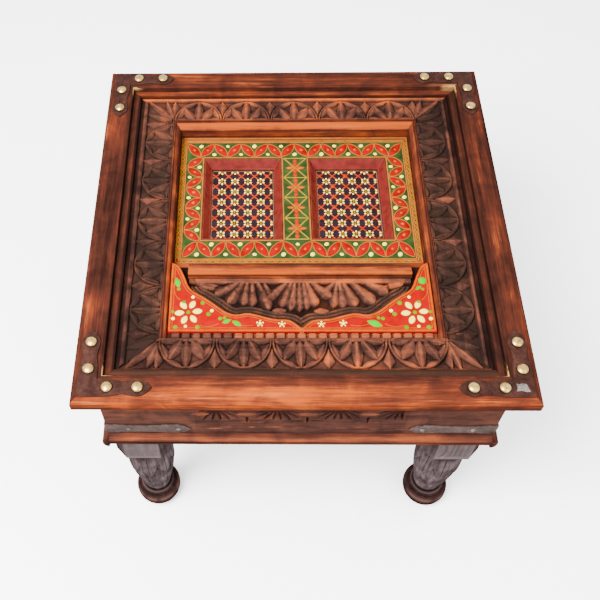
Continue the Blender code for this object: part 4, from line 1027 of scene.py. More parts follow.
def make_base_mouldings(woods):
    """Rounded strips on the foot of the apron, with a painted highlight on their upper half and painted
    shade on their top and bottom edges.
    """
    face, reach = -SIDE_MOULDING_HIGH.x, MOULDING_HIGH.y - MOULDING_LOW.y
    middle = (MOULDING_LOW.z + MOULDING_HIGH.z) / 2
    half_height = (MOULDING_HIGH.z - MOULDING_LOW.z) / 2
    swings = [math.pi * i / 24 for i in range(25)]
    profile = [(face + reach * (1 - math.sin(swing) ** 0.7), middle - half_height * math.cos(swing))
               for swing in swings]
    for side, turn in TURNS.items():
        end = MOULDING_HIGH.x if side in ("front", "back") else SIDE_MOULDING_HIGH.y
        seed = 100 + SIDE_NUMBERS[side]

        def tone(x, y, z, seed=seed, end=end):
            height = (z - middle) / half_height
            # Painted highlight on the upper half; painted shade on the top and bottom edges; a thin dark
            # line; darker towards the ends
            glow = 0.2 + 0.8 * unevenness(x, z * 9, 0.06, seed) + 1.3 * smooth_step(0.15, 0.4, height)
            shade = (0.8 * smooth_step(0.75, 1.0, np.abs(height))
                     + 0.6 * smooth_step(end - 0.012, end, np.abs(x)))
            line = smooth_step(0.16, 0.06, np.abs(height - 0.12))
            return {"glow": glow, "shade": shade, "hollow": 0.75 * line}

        piece = moulding("base_strip_" + side, profile, lambda y, end=end: end, 160, woods[GRAIN[side]],
                         turned_to(turn), tone)
        settle(piece, "rail_wood", "base_moulding_" + side)


# Legs

LEG_CENTRE = ((LEG_LOW.x + LEG_HIGH.x) / 2, (LEG_LOW.y + LEG_HIGH.y) / 2)
BLOCK_HALF = (LEG_HIGH.x - LEG_LOW.x) / 2
BLOCK_CHAMFER = 0.0165
BLOCK_TOP = APRON_LOW.z - 0.0003
BLOCK_LOW = BLOCK_TOP - 0.066
VASE_TOP = BLOCK_LOW - 0.006
VASE_BULGE = 0.165
VASE_RADIUS = 0.0385
NECK_RADIUS = 0.0235
NECK_HEIGHT = 0.056
FOOT_RADIUS = 0.038
FOOT_MIDDLE = 0.0245
POST_HALF = 0.022
POST_GAP = 0.0003
REED_WIDTH = 0.0024
REED_DEPTH = 0.0011
LEG_SIDES = 144
WRAP = 12


def chamfered_radius(angle, half, chamfer):
    c, s = np.abs(np.cos(angle)), np.abs(np.sin(angle))
    return np.minimum(half / np.maximum(c, s), (2 * half - chamfer) / (c + s))


def leg_radius(angle, z):
    """Radius of a leg below its post, at an angle and height: foot, neck, carved vase and block."""
    swing = np.clip((z - FOOT_MIDDLE) / FOOT_MIDDLE, -0.9, 1)
    ring = NECK_RADIUS + (FOOT_RADIUS - NECK_RADIUS) * np.sqrt(np.clip(1 - swing ** 2, 0, 1)) ** 1.1
    part = np.clip((z - NECK_HEIGHT) / (VASE_BULGE - NECK_HEIGHT), 0, 1)
    vase = NECK_RADIUS + (VASE_RADIUS - NECK_RADIUS) * np.sin(math.pi / 2 * part)
    upper = np.clip((z - VASE_BULGE) / (VASE_TOP - VASE_BULGE), 0, 1)
    vase = vase - 0.005 * upper ** 2
    petals = np.abs(np.cos(4 * angle))
    tip = 0.150 + 0.036 * (1 - petals) ** 0.8
    overlap = smooth_step(tip - 0.002, tip + 0.002, z)
    low_tip = 0.088 + 0.030 * (1 - np.abs(np.sin(4 * angle))) ** 0.8
    low_overlap = smooth_step(low_tip - 0.002, low_tip + 0.002, z)
    vein = smooth_step(0.10, 0.0, np.abs(np.sin(4 * angle))) * overlap * smooth_step(0.238, 0.225, z)
    carve = 0.0026 - 0.0015 * overlap - 0.0011 * low_overlap + 0.0010 * vein
    carve = carve * smooth_step(0.060, 0.075, z)
    body = np.where(z < NECK_HEIGHT - 0.008, ring, vase - carve)
    cove = smooth_step(VASE_TOP - 0.012, VASE_TOP - 0.004, z) * 0.0025
    body = body - cove
    block = chamfered_radius(angle, BLOCK_HALF, BLOCK_CHAMFER)
    lip = smooth_step(VASE_TOP - 0.0005, BLOCK_LOW, z)
    block = np.where(z < BLOCK_LOW, body + (block - body) * (0.82 + 0.18 * lip), block)
    facet = np.mod(angle + math.pi / 4, math.pi / 2) - math.pi / 4
    sideways = BLOCK_HALF * np.tan(facet)
    reeds = np.abs(np.sin(sideways / REED_WIDTH)) * REED_DEPTH
    front_face = np.abs(np.mod(angle, 2 * math.pi) - 1.5 * math.pi) < math.pi / 4
    reeds = reeds * (facet > -0.10) * (facet < 0.53) * front_face
    off_groove = np.abs(sideways + 0.019 - 0.006 * np.sin((z - BLOCK_LOW) * 50))
    groove = 0.0016 * smooth_step(0.004, 0.001, off_groove) * (np.abs(facet) < 0.55) * front_face
    block = block - (reeds + groove) * smooth_step(BLOCK_LOW + 0.006, BLOCK_LOW + 0.009, z)
    return np.where(z > VASE_TOP, block, body)


def leg_heights():
    """Rows up a leg, closer together where its outline turns sharply."""
    stretches = ((0.0, 0.044, 24), (0.0445, 0.049, 12), (0.0492, 0.10, 22), (0.10, 0.19, 46),
                 (0.19, VASE_TOP - 0.0002, 24), (VASE_TOP + 0.0002, BLOCK_LOW, 5),
                 (BLOCK_LOW + 0.0008, BLOCK_TOP, 22))
    rows = [np.linspace(low, high, count) for low, high, count in stretches]
    return np.unique(np.concatenate(rows))


def leg_marks(angle, z, radius, edge):
    """Where a leg is dark or rubbed, where light and shade are painted on it, and where its grey wash is.
    """
    wrapped = np.concatenate([radius[:, -WRAP:], radius, radius[:, :WRAP]], axis=1)
    hollow = np.clip((soften(wrapped, 14) - wrapped) / 0.0010, 0, 1)[:, WRAP:-WRAP]
    crest = np.clip((wrapped - soften(wrapped, 3)) / 0.0005, 0, 1)[:, WRAP:-WRAP]
    # Painted shadow under the block
    under_block = VASE_TOP - z
    hollow = np.maximum(hollow, 0.75 * smooth_step(0.036, 0.014, under_block) * (under_block > 0))
    flat = np.abs(np.mod(angle + math.pi / 4, math.pi / 2) - math.pi / 4) <= edge
    on_block = z > BLOCK_LOW - 0.001
    # Painted shade on the block's chamfers and under its lip
    hollow = np.where(on_block & ~flat, np.maximum(hollow, 0.55), hollow)
    under_lip = (z > VASE_TOP - 0.0005) & (z < BLOCK_LOW - 0.0004)
    hollow = np.where(under_lip, 0.85, hollow)
    # Painted light on the block's flat faces, and a painted highlight along its lower lip
    crest = np.where(on_block & flat, np.maximum(crest, 0.5), 0.5 * crest)
    crest = np.where(on_block & flat & (z < BLOCK_LOW + 0.008), 0.9, crest)
    on_foot = z < NECK_HEIGHT
    # Painted highlight band round the foot, in patches
    sheen_patches = np.clip(0.6 + 0.7 * unevenness(3 * angle, z, 1.0, 44), 0, 1)
    glow = 0.7 * np.exp(-((z - 0.034) / 0.0035) ** 2) * sheen_patches
    return {"hollow": hollow, "crest": crest, "glow": np.where(on_foot, glow, 0.0),
            "grey": np.where(on_foot, 0.0, 1.0)}


def make_legs(material):
    """Carved legs, each with the square post that stands inside the apron."""
    edge = math.atan2(BLOCK_HALF - BLOCK_CHAMFER, BLOCK_HALF)
    edges = [k * math.pi / 2 + s * edge for k in range(4) for s in (-1, 1)]
    even = np.linspace(0, 2 * math.pi, LEG_SIDES + 1)[:-1]
    angles = np.unique(np.concatenate([even, np.mod(edges, 2 * math.pi)]))
    a, z = np.meshgrid(angles, leg_heights())
    radius = leg_radius(a, z)
    turned = np.stack([LEG_CENTRE[0] + radius * np.cos(a), LEG_CENTRE[1] + radius * np.sin(a), z], -1)
    middle = APRON_HALF - (APRON_HIGH.y - APRON_LOW.y) - POST_GAP - POST_HALF
    reach = chamfered_radius(angles, POST_HALF, 0.0)
    post = [np.stack([middle + reach * np.cos(angles), -middle + reach * np.sin(angles),
                      np.full_like(angles, level)], -1) for level in (BLOCK_TOP, LEG_HIGH.z)]
    points = np.concatenate([turned.reshape(-1, 3), *post])
    faces = tube_faces(np.arange(len(points)).reshape(-1, len(angles)))
    marks = {mark: np.append(values, np.zeros(2 * len(angles)))
             for mark, values in leg_marks(a, z, radius, edge).items()}
    for corner, turn in CORNERS.items():
        leg = build_piece("carved_leg_" + corner, moved(points, turned_to(turn)), faces, material,
                          marks, 38)
        settle(leg, "leg_wood", "leg_" + corner)


def leg_finish():
    """Grey-brown washed wood, with a dark foot that carries a painted highlight band."""
    material, graph, shader, coords = new_finish("washed_wood", 0.5)
    streak = graph.noise(graph.stretch(coords, (60, 60, 5)), 2.5, 6.0, 0.65, 0.4)
    blotch = graph.noise(coords, 30.0, 4.0, 0.6)
    tone = graph.plus(graph.times(streak, 0.6), blotch, 0.4)
    wash = graph.ramp(tone, ((0.36, (0.0090, 0.0062, 0.0065)), (0.5, (0.0260, 0.0185, 0.0192)),
                             (0.64, (0.058, 0.0430, 0.044))))
    foot = graph.ramp(tone, ((0.36, (0.0034, 0.0017, 0.0016)), (0.5, (0.0080, 0.0036, 0.0032)),
                             (0.66, (0.020, 0.0084, 0.0066))))
    colour = graph.mix(graph.mark("grey"), foot, wash)
    hollow = graph.times(graph.mark("hollow"), 0.85)
    colour = graph.mix(hollow, colour, (*STAIN_AND_SHADE, 1.0))
    # Crests and lit faces take a lighter colour, painted highlight with some wear; the foot takes its
    # painted highlight band
    crest = graph.times(graph.mark("crest"), 0.75)
    colour = graph.mix(crest, colour, (0.060, 0.046, 0.046, 1.0))
    colour = graph.mix(graph.mark("glow"), colour, (0.056, 0.0270, 0.0215, 1.0))
    graph.feed(shader, "Base Color", colour)
    graph.feed(shader, "Roughness", graph.fit(graph.mark("grey"), 0, 1, 0.28, 0.5))
    graph.bump(shader, streak, 0.2, 0.0008)
    return material


# Setting out with geometry nodes

def add_inputs(tree, sockets):
    """Inputs of a geometry tree, in order; returns their identifiers by name."""
    names = {}
    for name, kind in sockets:
        socket = tree.interface.new_socket(name, in_out="INPUT", socket_type="NodeSocket" + kind)
        names[name] = socket.identifier
    tree.interface.new_socket("Geometry", in_out="OUTPUT", socket_type="NodeSocketGeometry")
    return names


def finish_tree(graph, geometry, material):
    """Close a geometry tree: real geometry, in its material."""
    real = graph.add("GeometryNodeRealizeInstances", (0, geometry))
    dressed = graph.add("GeometryNodeSetMaterial", ("Geometry", real.outputs[0]), ("Material", material))
    graph.add("NodeGroupOutput", (0, dressed.outputs[0]))


def setting_out_tree():
    """Tree that puts a pattern on each point, turned and sized by the point's attributes."""
    tree = bpy.data.node_groups.new("setting_out", "GeometryNodeTree")
    names = add_inputs(tree, (("Geometry", "Geometry"), ("Pattern", "Object"), ("Size Spread", "Float"),
                              ("Turn Spread", "Float"), ("Seed", "Int"), ("Material", "Material")))
    graph = Graph(tree)
    given = graph.add("NodeGroupInput").outputs
    pattern = graph.add("GeometryNodeObjectInfo", ("Object", given["Pattern"]))
    turn = graph.add("GeometryNodeInputNamedAttribute", ("Name", "turn"), data_type="FLOAT_VECTOR")
    size = graph.add("GeometryNodeInputNamedAttribute", ("Name", "size"), data_type="FLOAT")
    lowest = graph.math("SUBTRACT", 1.0, given["Size Spread"])
    highest = graph.math("ADD", 1.0, given["Size Spread"])
    spread = graph.add("FunctionNodeRandomValue", (2, lowest), (3, highest), (8, given["Seed"]),
                       data_type="FLOAT").outputs[1]
    scale = graph.times(size.outputs[0], spread)
    facing = graph.add("FunctionNodeEulerToRotation", (0, turn.outputs[0]))
    placed = graph.add("GeometryNodeInstanceOnPoints", ("Points", given["Geometry"]),
                       ("Instance", pattern.outputs["Geometry"]), ("Rotation", facing.outputs[0]),
                       ("Scale", scale))
    back_turn = graph.times(given["Turn Spread"], -1.0)
    twist = graph.add("FunctionNodeRandomValue", (2, back_turn), (3, given["Turn Spread"]),
                      (8, given["Seed"]), data_type="FLOAT").outputs[1]
    about = graph.add("ShaderNodeCombineXYZ", (2, twist))
    twist_turn = graph.add("FunctionNodeEulerToRotation", (0, about.outputs[0]))
    twisted = graph.add("GeometryNodeRotateInstances", ("Instances", placed.outputs[0]),
                        ("Rotation", twist_turn.outputs[0]))
    finish_tree(graph, twisted.outputs[0], given["Material"])
    return tree, names


def brush_line_tree():
    """Tree that lays a raised brush line along each path, with a little shake of the hand."""
    tree = bpy.data.node_groups.new("brush_line", "GeometryNodeTree")
    names = add_inputs(tree, (("Geometry", "Geometry"), ("Width", "Float"), ("Rise", "Float"),
                              ("Step", "Float"), ("Shake", "Float"), ("Seed", "Float"),
                              ("Material", "Material")))
    graph = Graph(tree)
    given = graph.add("NodeGroupInput").outputs
    curve = graph.add("GeometryNodeMeshToCurve", ("Mesh", given["Geometry"]))
    even = graph.add("GeometryNodeResampleCurve", ("Curve", curve.outputs[0]),
                     ("Length", given["Step"]), mode="LENGTH")
    noise = graph.add("ShaderNodeTexNoise", ("W", given["Seed"]), ("Scale", 90.0), ("Detail", 1.0),
                      noise_dimensions="4D")
    centred = graph.add("ShaderNodeVectorMath", (0, noise.outputs["Color"]), (1, (0.5, 0.5, 0.5)),
                        operation="SUBTRACT")
    reach = graph.add("ShaderNodeCombineXYZ", (0, given["Shake"]), (1, given["Shake"]))
    offset = graph.add("ShaderNodeVectorMath", (0, centred.outputs[0]), (1, reach.outputs[0]),
                       operation="MULTIPLY")
    shaken = graph.add("GeometryNodeSetPosition", ("Geometry", even.outputs[0]),
                       ("Offset", offset.outputs[0]))
    upright = graph.add("GeometryNodeSetCurveNormal", (0, shaken.outputs[0]), mode="Z_UP")
    loop = graph.add("GeometryNodeCurvePrimitiveCircle", ("Resolution", 8), ("Radius", 0.5))
    height = graph.times(given["Rise"], 2.0)
    shape = graph.add("ShaderNodeCombineXYZ", (0, given["Width"]), (1, height), (2, 1.0))
    section = graph.add("GeometryNodeTransform", ("Geometry", loop.outputs[0]), ("Scale", shape.outputs[0]))
    swept = graph.add("GeometryNodeCurveToMesh", ("Curve", upright.outputs[0]),
                      ("Profile Curve", section.outputs[0]), ("Fill Caps", True))
    finish_tree(graph, swept.outputs[0], given["Material"])
    return tree, names


def grown(name, mesh, tree_names, values):
    """Plain mesh object made by a geometry tree from a starting mesh."""
    tree, names = tree_names
    seedling = add_object(name + "_start", mesh)
    modifier = seedling.modifiers.new("grow", "NODES")
    modifier.node_group = tree
    for key, value in values.items():
        modifier[names[key]] = value
    depsgraph = bpy.context.evaluated_depsgraph_get()
    depsgraph.update()
    result = bpy.data.meshes.new_from_object(seedling.evaluated_get(depsgraph), depsgraph=depsgraph)
    result.name = name
    bpy.data.objects.remove(seedling)
    return add_object(name, result)


SETTING_OUT = setting_out_tree()
BRUSH_LINE = brush_line_tree()


def set_out(name, pattern, places, material, slot, size_spread=0.0, turn_spread=0.0, seed=1, nodes=()):
    """Put a pattern at each (point, turn about Z or Euler angles, size) and settle the result."""
    mesh = new_mesh(name + "_points", [tuple(point) for point, _, _ in places], [], [])
    turns = [t if isinstance(t, tuple) else (0.0, 0.0, t) for _, t, _ in places]
    mesh.attributes.new("turn", "FLOAT_VECTOR", "POINT").data.foreach_set(
        "vector", np.array(turns, np.float32).ravel())
    mark_points(mesh, "size", [size for _, _, size in places])
    piece = grown(name, mesh, SETTING_OUT, {"Pattern": pattern, "Size Spread": size_spread,
                                            "Turn Spread": turn_spread, "Seed": seed,
                                            "Material": material})
    piece.data.shade_smooth()
    return settle(piece, slot, *nodes)


def brush_lines(name, paths, width, material, slot, rise=0.00045, shake=0.0010, seed=0.0, step=0.0022):
    """Raised painted lines along paths of (points, closed)."""
    points, edges = [], []
    for path, closed in paths:
        first, count = len(points), len(path)
        points += [tuple(p) for p in path]
        edges += [(first + i, first + i + 1) for i in range(count - 1)]
        if closed:
            edges.append((first + count - 1, first))
    mesh = new_mesh(name + "_paths", points, edges, [])
    piece = grown(name, mesh, BRUSH_LINE, {"Width": width, "Rise": rise, "Step": step, "Shake": shake,
                                           "Seed": seed, "Material": material})
    piece.data.shade_smooth()
    return settle(piece, slot)


PAD_RINGS = ((1.0, 0.0), (0.84, 0.62), (0.5, 0.95))


def pad_pattern(name, outline, rise):
    """Low domed pad over an outline of unit size, used as a pattern for leaves, petals and dots."""
    count = len(outline)
    points = [(x * scale, y * scale, rise * height) for scale, height in PAD_RINGS for x, y in outline]
    points.append((0.0, 0.0, rise))
    faces = []
    for i in range(count):
        j = (i + 1) % count
        for low, high in ((0, count), (count, 2 * count)):
            faces.append([low + i, low + j, high + j, high + i])
        faces.append([2 * count + i, 2 * count + j, 3 * count])
    mesh = new_mesh(name, points, [], faces)
    mesh.shade_smooth()
    return bpy.data.objects.new(name, mesh)


def lathe_pattern(name, profile, sides):
    """Turned pattern from (radius, height) points that start and end on the axis."""
    points = [(0.0, 0.0, profile[0][1])]
    rings = profile[1:-1]
    for radius, height in rings:
        points += [(x, y, height) for x, y in circle_outline(sides, radius, radius)]
    points.append((0.0, 0.0, profile[-1][1]))
    faces = []
    for i in range(sides):
        j = (i + 1) % sides
        faces.append([0, 1 + j, 1 + i])
        for k in range(len(rings) - 1):
            low, high = 1 + k * sides, 1 + (k + 1) * sides
            faces.append([low + i, low + j, high + j, high + i])
        last = 1 + (len(rings) - 1) * sides
        faces.append([last + i, last + j, len(points) - 1])
    mesh = new_mesh(name, points, [], faces)
    widest = max(radius for radius, _ in profile)
    # The hollow mark darkens the outer rim by radius alone, as painted shade on the brass nails
    mark_points(mesh, "hollow", [smooth_step(0.80, 1.0, math.hypot(x, y) / widest) for x, y, _ in points])
    return bpy.data.objects.new(name, mesh)


def circle_outline(sides, length=1.0, width=1.0):
    angles = [2 * math.pi * i / sides for i in range(sides)]
    return [(length * math.cos(a), width * math.sin(a)) for a in angles]


def leaf_outline(length, width, steps=7, fullness=0.9):
    """Pointed oval along X, drawn from tip to tip and back; blunter where fullness is lower."""
    side = [(length * (i / steps - 0.5), width / 2 * math.sin(math.pi * i / steps) ** fullness)
            for i in range(steps)]
    return [(x, -y) for x, y in side] + [(-x, y) for x, y in side]


def laid_outline(outline, place, turn):
    """Closed path of a flat outline, turned and carried to its place."""
    spin = Matrix.Rotation(turn, 3, "Z")
    return [spin @ Vector((x, y, 0)) + Vector(place) for x, y in outline], True


# Ironwork

NAIL_RADIUS = 0.008
NAIL_HEIGHT = 0.005
NAIL_ANGLES = (12, 28, 45, 62, 78)
APRON_NAIL_REACHES = (0.032, 0.104)
APRON_NAIL_SIZE = 0.42
# Worn spot on the front right strap: its place, and its outline round that place
BARE_PLACE = (0.2800, -0.2830)
BARE_PATCH = ((-0.0085, -0.0052), (-0.0030, -0.0042), (0.0030, -0.0060), (0.0088, -0.0056),
              (0.0070, -0.0010), (0.0052, 0.0052), (-0.0010, 0.0060), (-0.0040, 0.0046),
              (-0.0082, 0.0062), (-0.0070, 0.0008))


def make_ironwork(irons, brass):
    """Straps with their edges eased, domed nails, and a bare worn patch on one strap."""
    for corner in CORNERS:
        eased_copy("corner_strap_" + corner, irons["dark_iron"], 0.0006, "iron")
        eased_copy("apron_strap_" + corner, irons["worn_iron"], 0.0004, "iron")
    nails, nodes = [], []
    for name in sorted(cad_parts):
        if name.startswith("brass_nail_"):
            low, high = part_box(name)
            nails.append((((low.x + high.x) / 2, (low.y + high.y) / 2, STRAP_TOP), 0.0, 1.0))
            nodes.append(name)
    dome = [(0.0, -0.0005), (NAIL_RADIUS * 0.96, -0.0005), (NAIL_RADIUS, 0.0005)]
    dome += [(NAIL_RADIUS * math.cos(a), 0.0008 + (NAIL_HEIGHT - 0.0008) * math.sin(a))
             for a in np.radians(NAIL_ANGLES)]
    dome.append((0.0, NAIL_HEIGHT))
    set_out("domed_nails", lathe_pattern("nail", dome, 24), nails, brass, "brass", 0.0, 0.6, 3, nodes)
    low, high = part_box("apron_strap_front_right")
    level = (low.z + high.z) / 2
    small = []
    for turn in CORNERS.values():
        for reach in APRON_NAIL_REACHES:
            for point, lean in (((APRON_HALF - reach, -APRON_STRAP_FACE, level), 0.0),
                                ((APRON_STRAP_FACE, reach - APRON_HALF, level), math.pi / 2)):
                spot = turned_to(turn) @ Vector(point)
                small.append((spot, (math.pi / 2, 0.0, turn + lean), APRON_NAIL_SIZE))
    bare_iron = irons["bare_iron"]
    set_out("strap_nails", lathe_pattern("small_nail", dome, 14), small, bare_iron, "iron", 0.1, 0.3, 4)
    patch = pad_pattern("worn_patch", BARE_PATCH, 0.0003)
    set_out("bare_patch", patch, [((*BARE_PLACE, STRAP_TOP), 0.0, 1.0)], bare_iron, "iron")


# Painted work

PAINT_LIFT = 0.0002
FIELD_HALF = PANEL_HIGH.x - 0.0090
FIELD_FRONT = PANEL_LOW.y + 0.0197
FIELD_BACK = PANEL_HIGH.y - 0.0117
LEAVES_ACROSS = 16
LEAVES_DOWN = 8
LEAF_WIDTH = 0.0114
LEAF_LENGTH = 0.034
LEAF_GAP = 0.06
LEAF_MARGIN = 0.0025
PANEL_FACE = PANEL_HIGH.z + PAINT_LIFT


def rectangle_path(low_x, low_y, high_x, high_y, z):
    return [(low_x, low_y, z), (high_x, low_y, z), (high_x, high_y, z), (low_x, high_y, z)], True


def band_leaves(start, end, depth, count, first_rises):
    """Zigzag of leaves along a band: the ends of each leaf, and the dots between leaves.

    start and end are the ends of one of its long edges, depth the vector across to the other.
    """
    start, end, depth = Vector(start), Vector(end), Vector(depth)
    step = (end - start) / count
    leaves, dots = [], []
    for k in range(count):
        rises = (k % 2 == 0) == first_rises
        low, high = start + step * k, start + step * (k + 1)
        a, b = (low, high + depth) if rises else (low + depth, high)
        leaves.append((a.lerp(b, LEAF_GAP), a.lerp(b, 1 - LEAF_GAP)))
        if k < count - 1:
            dots.append(start + step * (k + 1) + depth * (0.20 if rises else 0.80))
    return leaves, dots


def make_leaf_border(paints):
    """Red leaves with yellow outlines, in zigzag round the green field."""
    left_low, left_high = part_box("window_reveal_left")
    inner = -left_low.x + 0.003
    front, back = left_low.y - 0.003, left_high.y + 0.003
    outer = FIELD_HALF - LEAF_MARGIN
    first, last = FIELD_FRONT + LEAF_MARGIN, FIELD_BACK - LEAF_MARGIN
    bands = (
        ((-outer, back, 0), (outer, back, 0), (0, last - back, 0), LEAVES_ACROSS, False),
        ((-outer, first, 0), (outer, first, 0), (0, front - first, 0), LEAVES_ACROSS, True),
        ((-outer, back, 0), (-outer, front, 0), (outer - inner, 0, 0), LEAVES_DOWN, False),
        ((outer, back, 0), (outer, front, 0), (inner - outer, 0, 0), LEAVES_DOWN, False),
    )
    leaves, dots = [], []
    for band in bands:
        found, spots = band_leaves(*band)
        leaves += found
        dots += spots
    places, eyes, outlines = [], [], []
    for a, b in leaves:
        middle, line = (a + b) / 2, b - a
        turn = math.atan2(line.y, line.x)
        place = (middle.x, middle.y, PANEL_FACE)
        places.append((place, turn, line.length))
        eyes.append(((middle.x, middle.y, PANEL_FACE + 0.0006), turn, 0.0021))
        outline = leaf_outline(line.length * 1.04, LEAF_WIDTH + 0.0026, 10, 0.75)
        outlines.append(laid_outline(outline, place, turn))
    pattern = pad_pattern("leaf", leaf_outline(0.95, LEAF_WIDTH / LEAF_LENGTH, 9, 0.62), 0.026)
    set_out("border_leaves", pattern, places, paints["leaf_red"], "red_paint", 0.03, 0.04, 5)
    eye = pad_pattern("eye", circle_outline(10, 1.25, 1.0), 0.30)
    set_out("leaf_eyes", eye, eyes, paints["salmon"], "red_paint", 0.18, 0.3, 6)
    dot = pad_pattern("dot", circle_outline(10, 1.15, 0.95), 0.34)
    spots = [((p.x, p.y, PANEL_FACE), 0.3, 0.0031) for p in dots]
    set_out("white_dots", dot, spots, paints["white"], "green_paint", 0.18, 0.9, 7)
    brush_lines("leaf_outlines", outlines, 0.0015, paints["gold"], "green_paint", 0.0006, 0.0009, 1.0)


WINDOW_LINE = 0.0022
# Rim lines, each by its distance from the panel's sides, from the field and from the panel's back
RIM_LINES = ((0.0018, 0.0064, 0.0032), (0.0072, 0.0026, 0.0088))
RIM_ZIGZAGS = 26
ZIGZAG_REACHES = (0.0066, 0.0018)
WAVE_LOBES = 32
WAVE_STEPS = 10
WAVE_DROP = 0.0056
WAVE_RISE = 0.0030


def make_panel_lines(paints):
    """Straight and scalloped lines round the field, the windows and the rim."""
    low, high = PANEL_LOW, PANEL_HIGH
    lines = [rectangle_path(-FIELD_HALF + 0.0006, FIELD_FRONT, FIELD_HALF - 0.0006, FIELD_BACK, PANEL_FACE)]
    for side in ("left", "right"):
        a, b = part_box("window_reveal_" + side)
        lines.append(rectangle_path(a.x - WINDOW_LINE, a.y - WINDOW_LINE, b.x + WINDOW_LINE,
                                    b.y + WINDOW_LINE, PANEL_FACE))
    brush_lines("field_lines", lines, 0.0022, paints["gold"], "green_paint", 0.0006, 0.0011, 2.0)
    rim = [rectangle_path(low.x + side, FIELD_FRONT - front, high.x - side, high.y - back, PANEL_FACE)
           for side, front, back in RIM_LINES]
    yellow = paints["rim_yellow"]
    brush_lines("rim_lines", rim, 0.0012, yellow, "green_paint", 0.0005, 0.0009, 3.0)
    chains = []
    for side in (-1, 1):
        for phase in (0, 1):
            path = []
            for k in range(RIM_ZIGZAGS + 1):
                along = FIELD_FRONT + (FIELD_BACK - FIELD_FRONT) * k / RIM_ZIGZAGS
                path.append((side * (high.x - ZIGZAG_REACHES[(k + phase) % 2]), along, PANEL_FACE))
            chains.append((path, False))
    count = WAVE_LOBES * WAVE_STEPS
    wave = []
    for k in range(count + 1):
        rise = WAVE_RISE * abs(math.sin(math.pi * k / WAVE_STEPS))
        wave.append((-FIELD_HALF + 2 * FIELD_HALF * k / count, FIELD_FRONT - WAVE_DROP + rise, PANEL_FACE))
    chains.append((wave, False))
    brush_lines("rim_chains", chains, 0.0011, yellow, "green_paint", 0.0005, 0.0006, 4.0, 0.0012)


MULLION_CELLS = 4
DROP_REACHES = (0.0066, 0.0142)
DROP_SIZE = 0.0092
STAR_LEAN = 0.55


def make_mullion(paints):
    """Cells with crossed lines and a star of drops on the bar between the windows."""
    left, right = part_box("window_reveal_left"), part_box("window_reveal_right")
    half = right[0].x - 0.0045
    front, back = left[0].y, left[1].y
    step = (back - front) / MULLION_CELLS
    face = PANEL_FACE
    lines, drops, hearts, strokes = [], [], [], []
    for k in range(MULLION_CELLS):
        low, high = front + step * k, front + step * (k + 1)
        middle = (low + high) / 2
        for sign in (-1, 1):
            lean = sign * step / 2
            lines.append(([(-half, middle - lean, face), (half, middle + lean, face)], False))
        lines.append(([(-half, low, face), (half, low, face)], False))
        hearts.append(((0, middle, face + 0.0004), 0.0, 0.0030))
        for sign in (-1, 1):
            for reach in DROP_REACHES:
                drops.append(((0, middle + sign * reach, face + 0.0002), math.pi / 2, DROP_SIZE))
            strokes.append(((sign * 0.0086, middle, face + 0.0002), 0.0, 0.0125))
            for lean in (-STAR_LEAN, STAR_LEAN):
                strokes.append(((sign * 0.0048, middle + lean * 0.0075, face + 0.0002),
                                sign * lean * 1.6, 0.0070))
    lines.append(([(-half, back, face), (half, back, face)], False))
    brush_lines("mullion_lines", lines, 0.0021, paints["pale_green"], "green_paint", 0.0005, 0.0009, 5.0)
    drop = pad_pattern("drop", leaf_outline(1.0, 0.78, 6, 0.7), 0.09)
    stroke = pad_pattern("stroke", leaf_outline(1.0, 0.40, 6), 0.07)
    heart = pad_pattern("heart", circle_outline(10), 0.32)
    set_out("star_drops", drop, drops, paints["orange_red"], "red_paint", 0.1, 0.1, 8)
    set_out("star_strokes", stroke, strokes, paints["salmon"], "red_paint", 0.1, 0.1, 9)
    set_out("star_hearts", heart, hearts, paints["yellow"], "green_paint", 0.1, 0.3, 10)


LATTICE_PITCH = (0.0206, 0.0209)
LATTICE_START = (0.0152, 0.0093)
LATTICE_MARGIN = 0.0125
CROSS_REACH = 0.0085
FLOWER_RADIUS = 0.0049
PETAL_MARGIN = 0.0015
KNOT_MARGIN = 0.003


def within(point, low, high, margin):
    """Whether a point lies inside a rectangle, by a margin or more."""
    return all(low[axis] + margin < point[axis] < high[axis] - margin for axis in (0, 1))


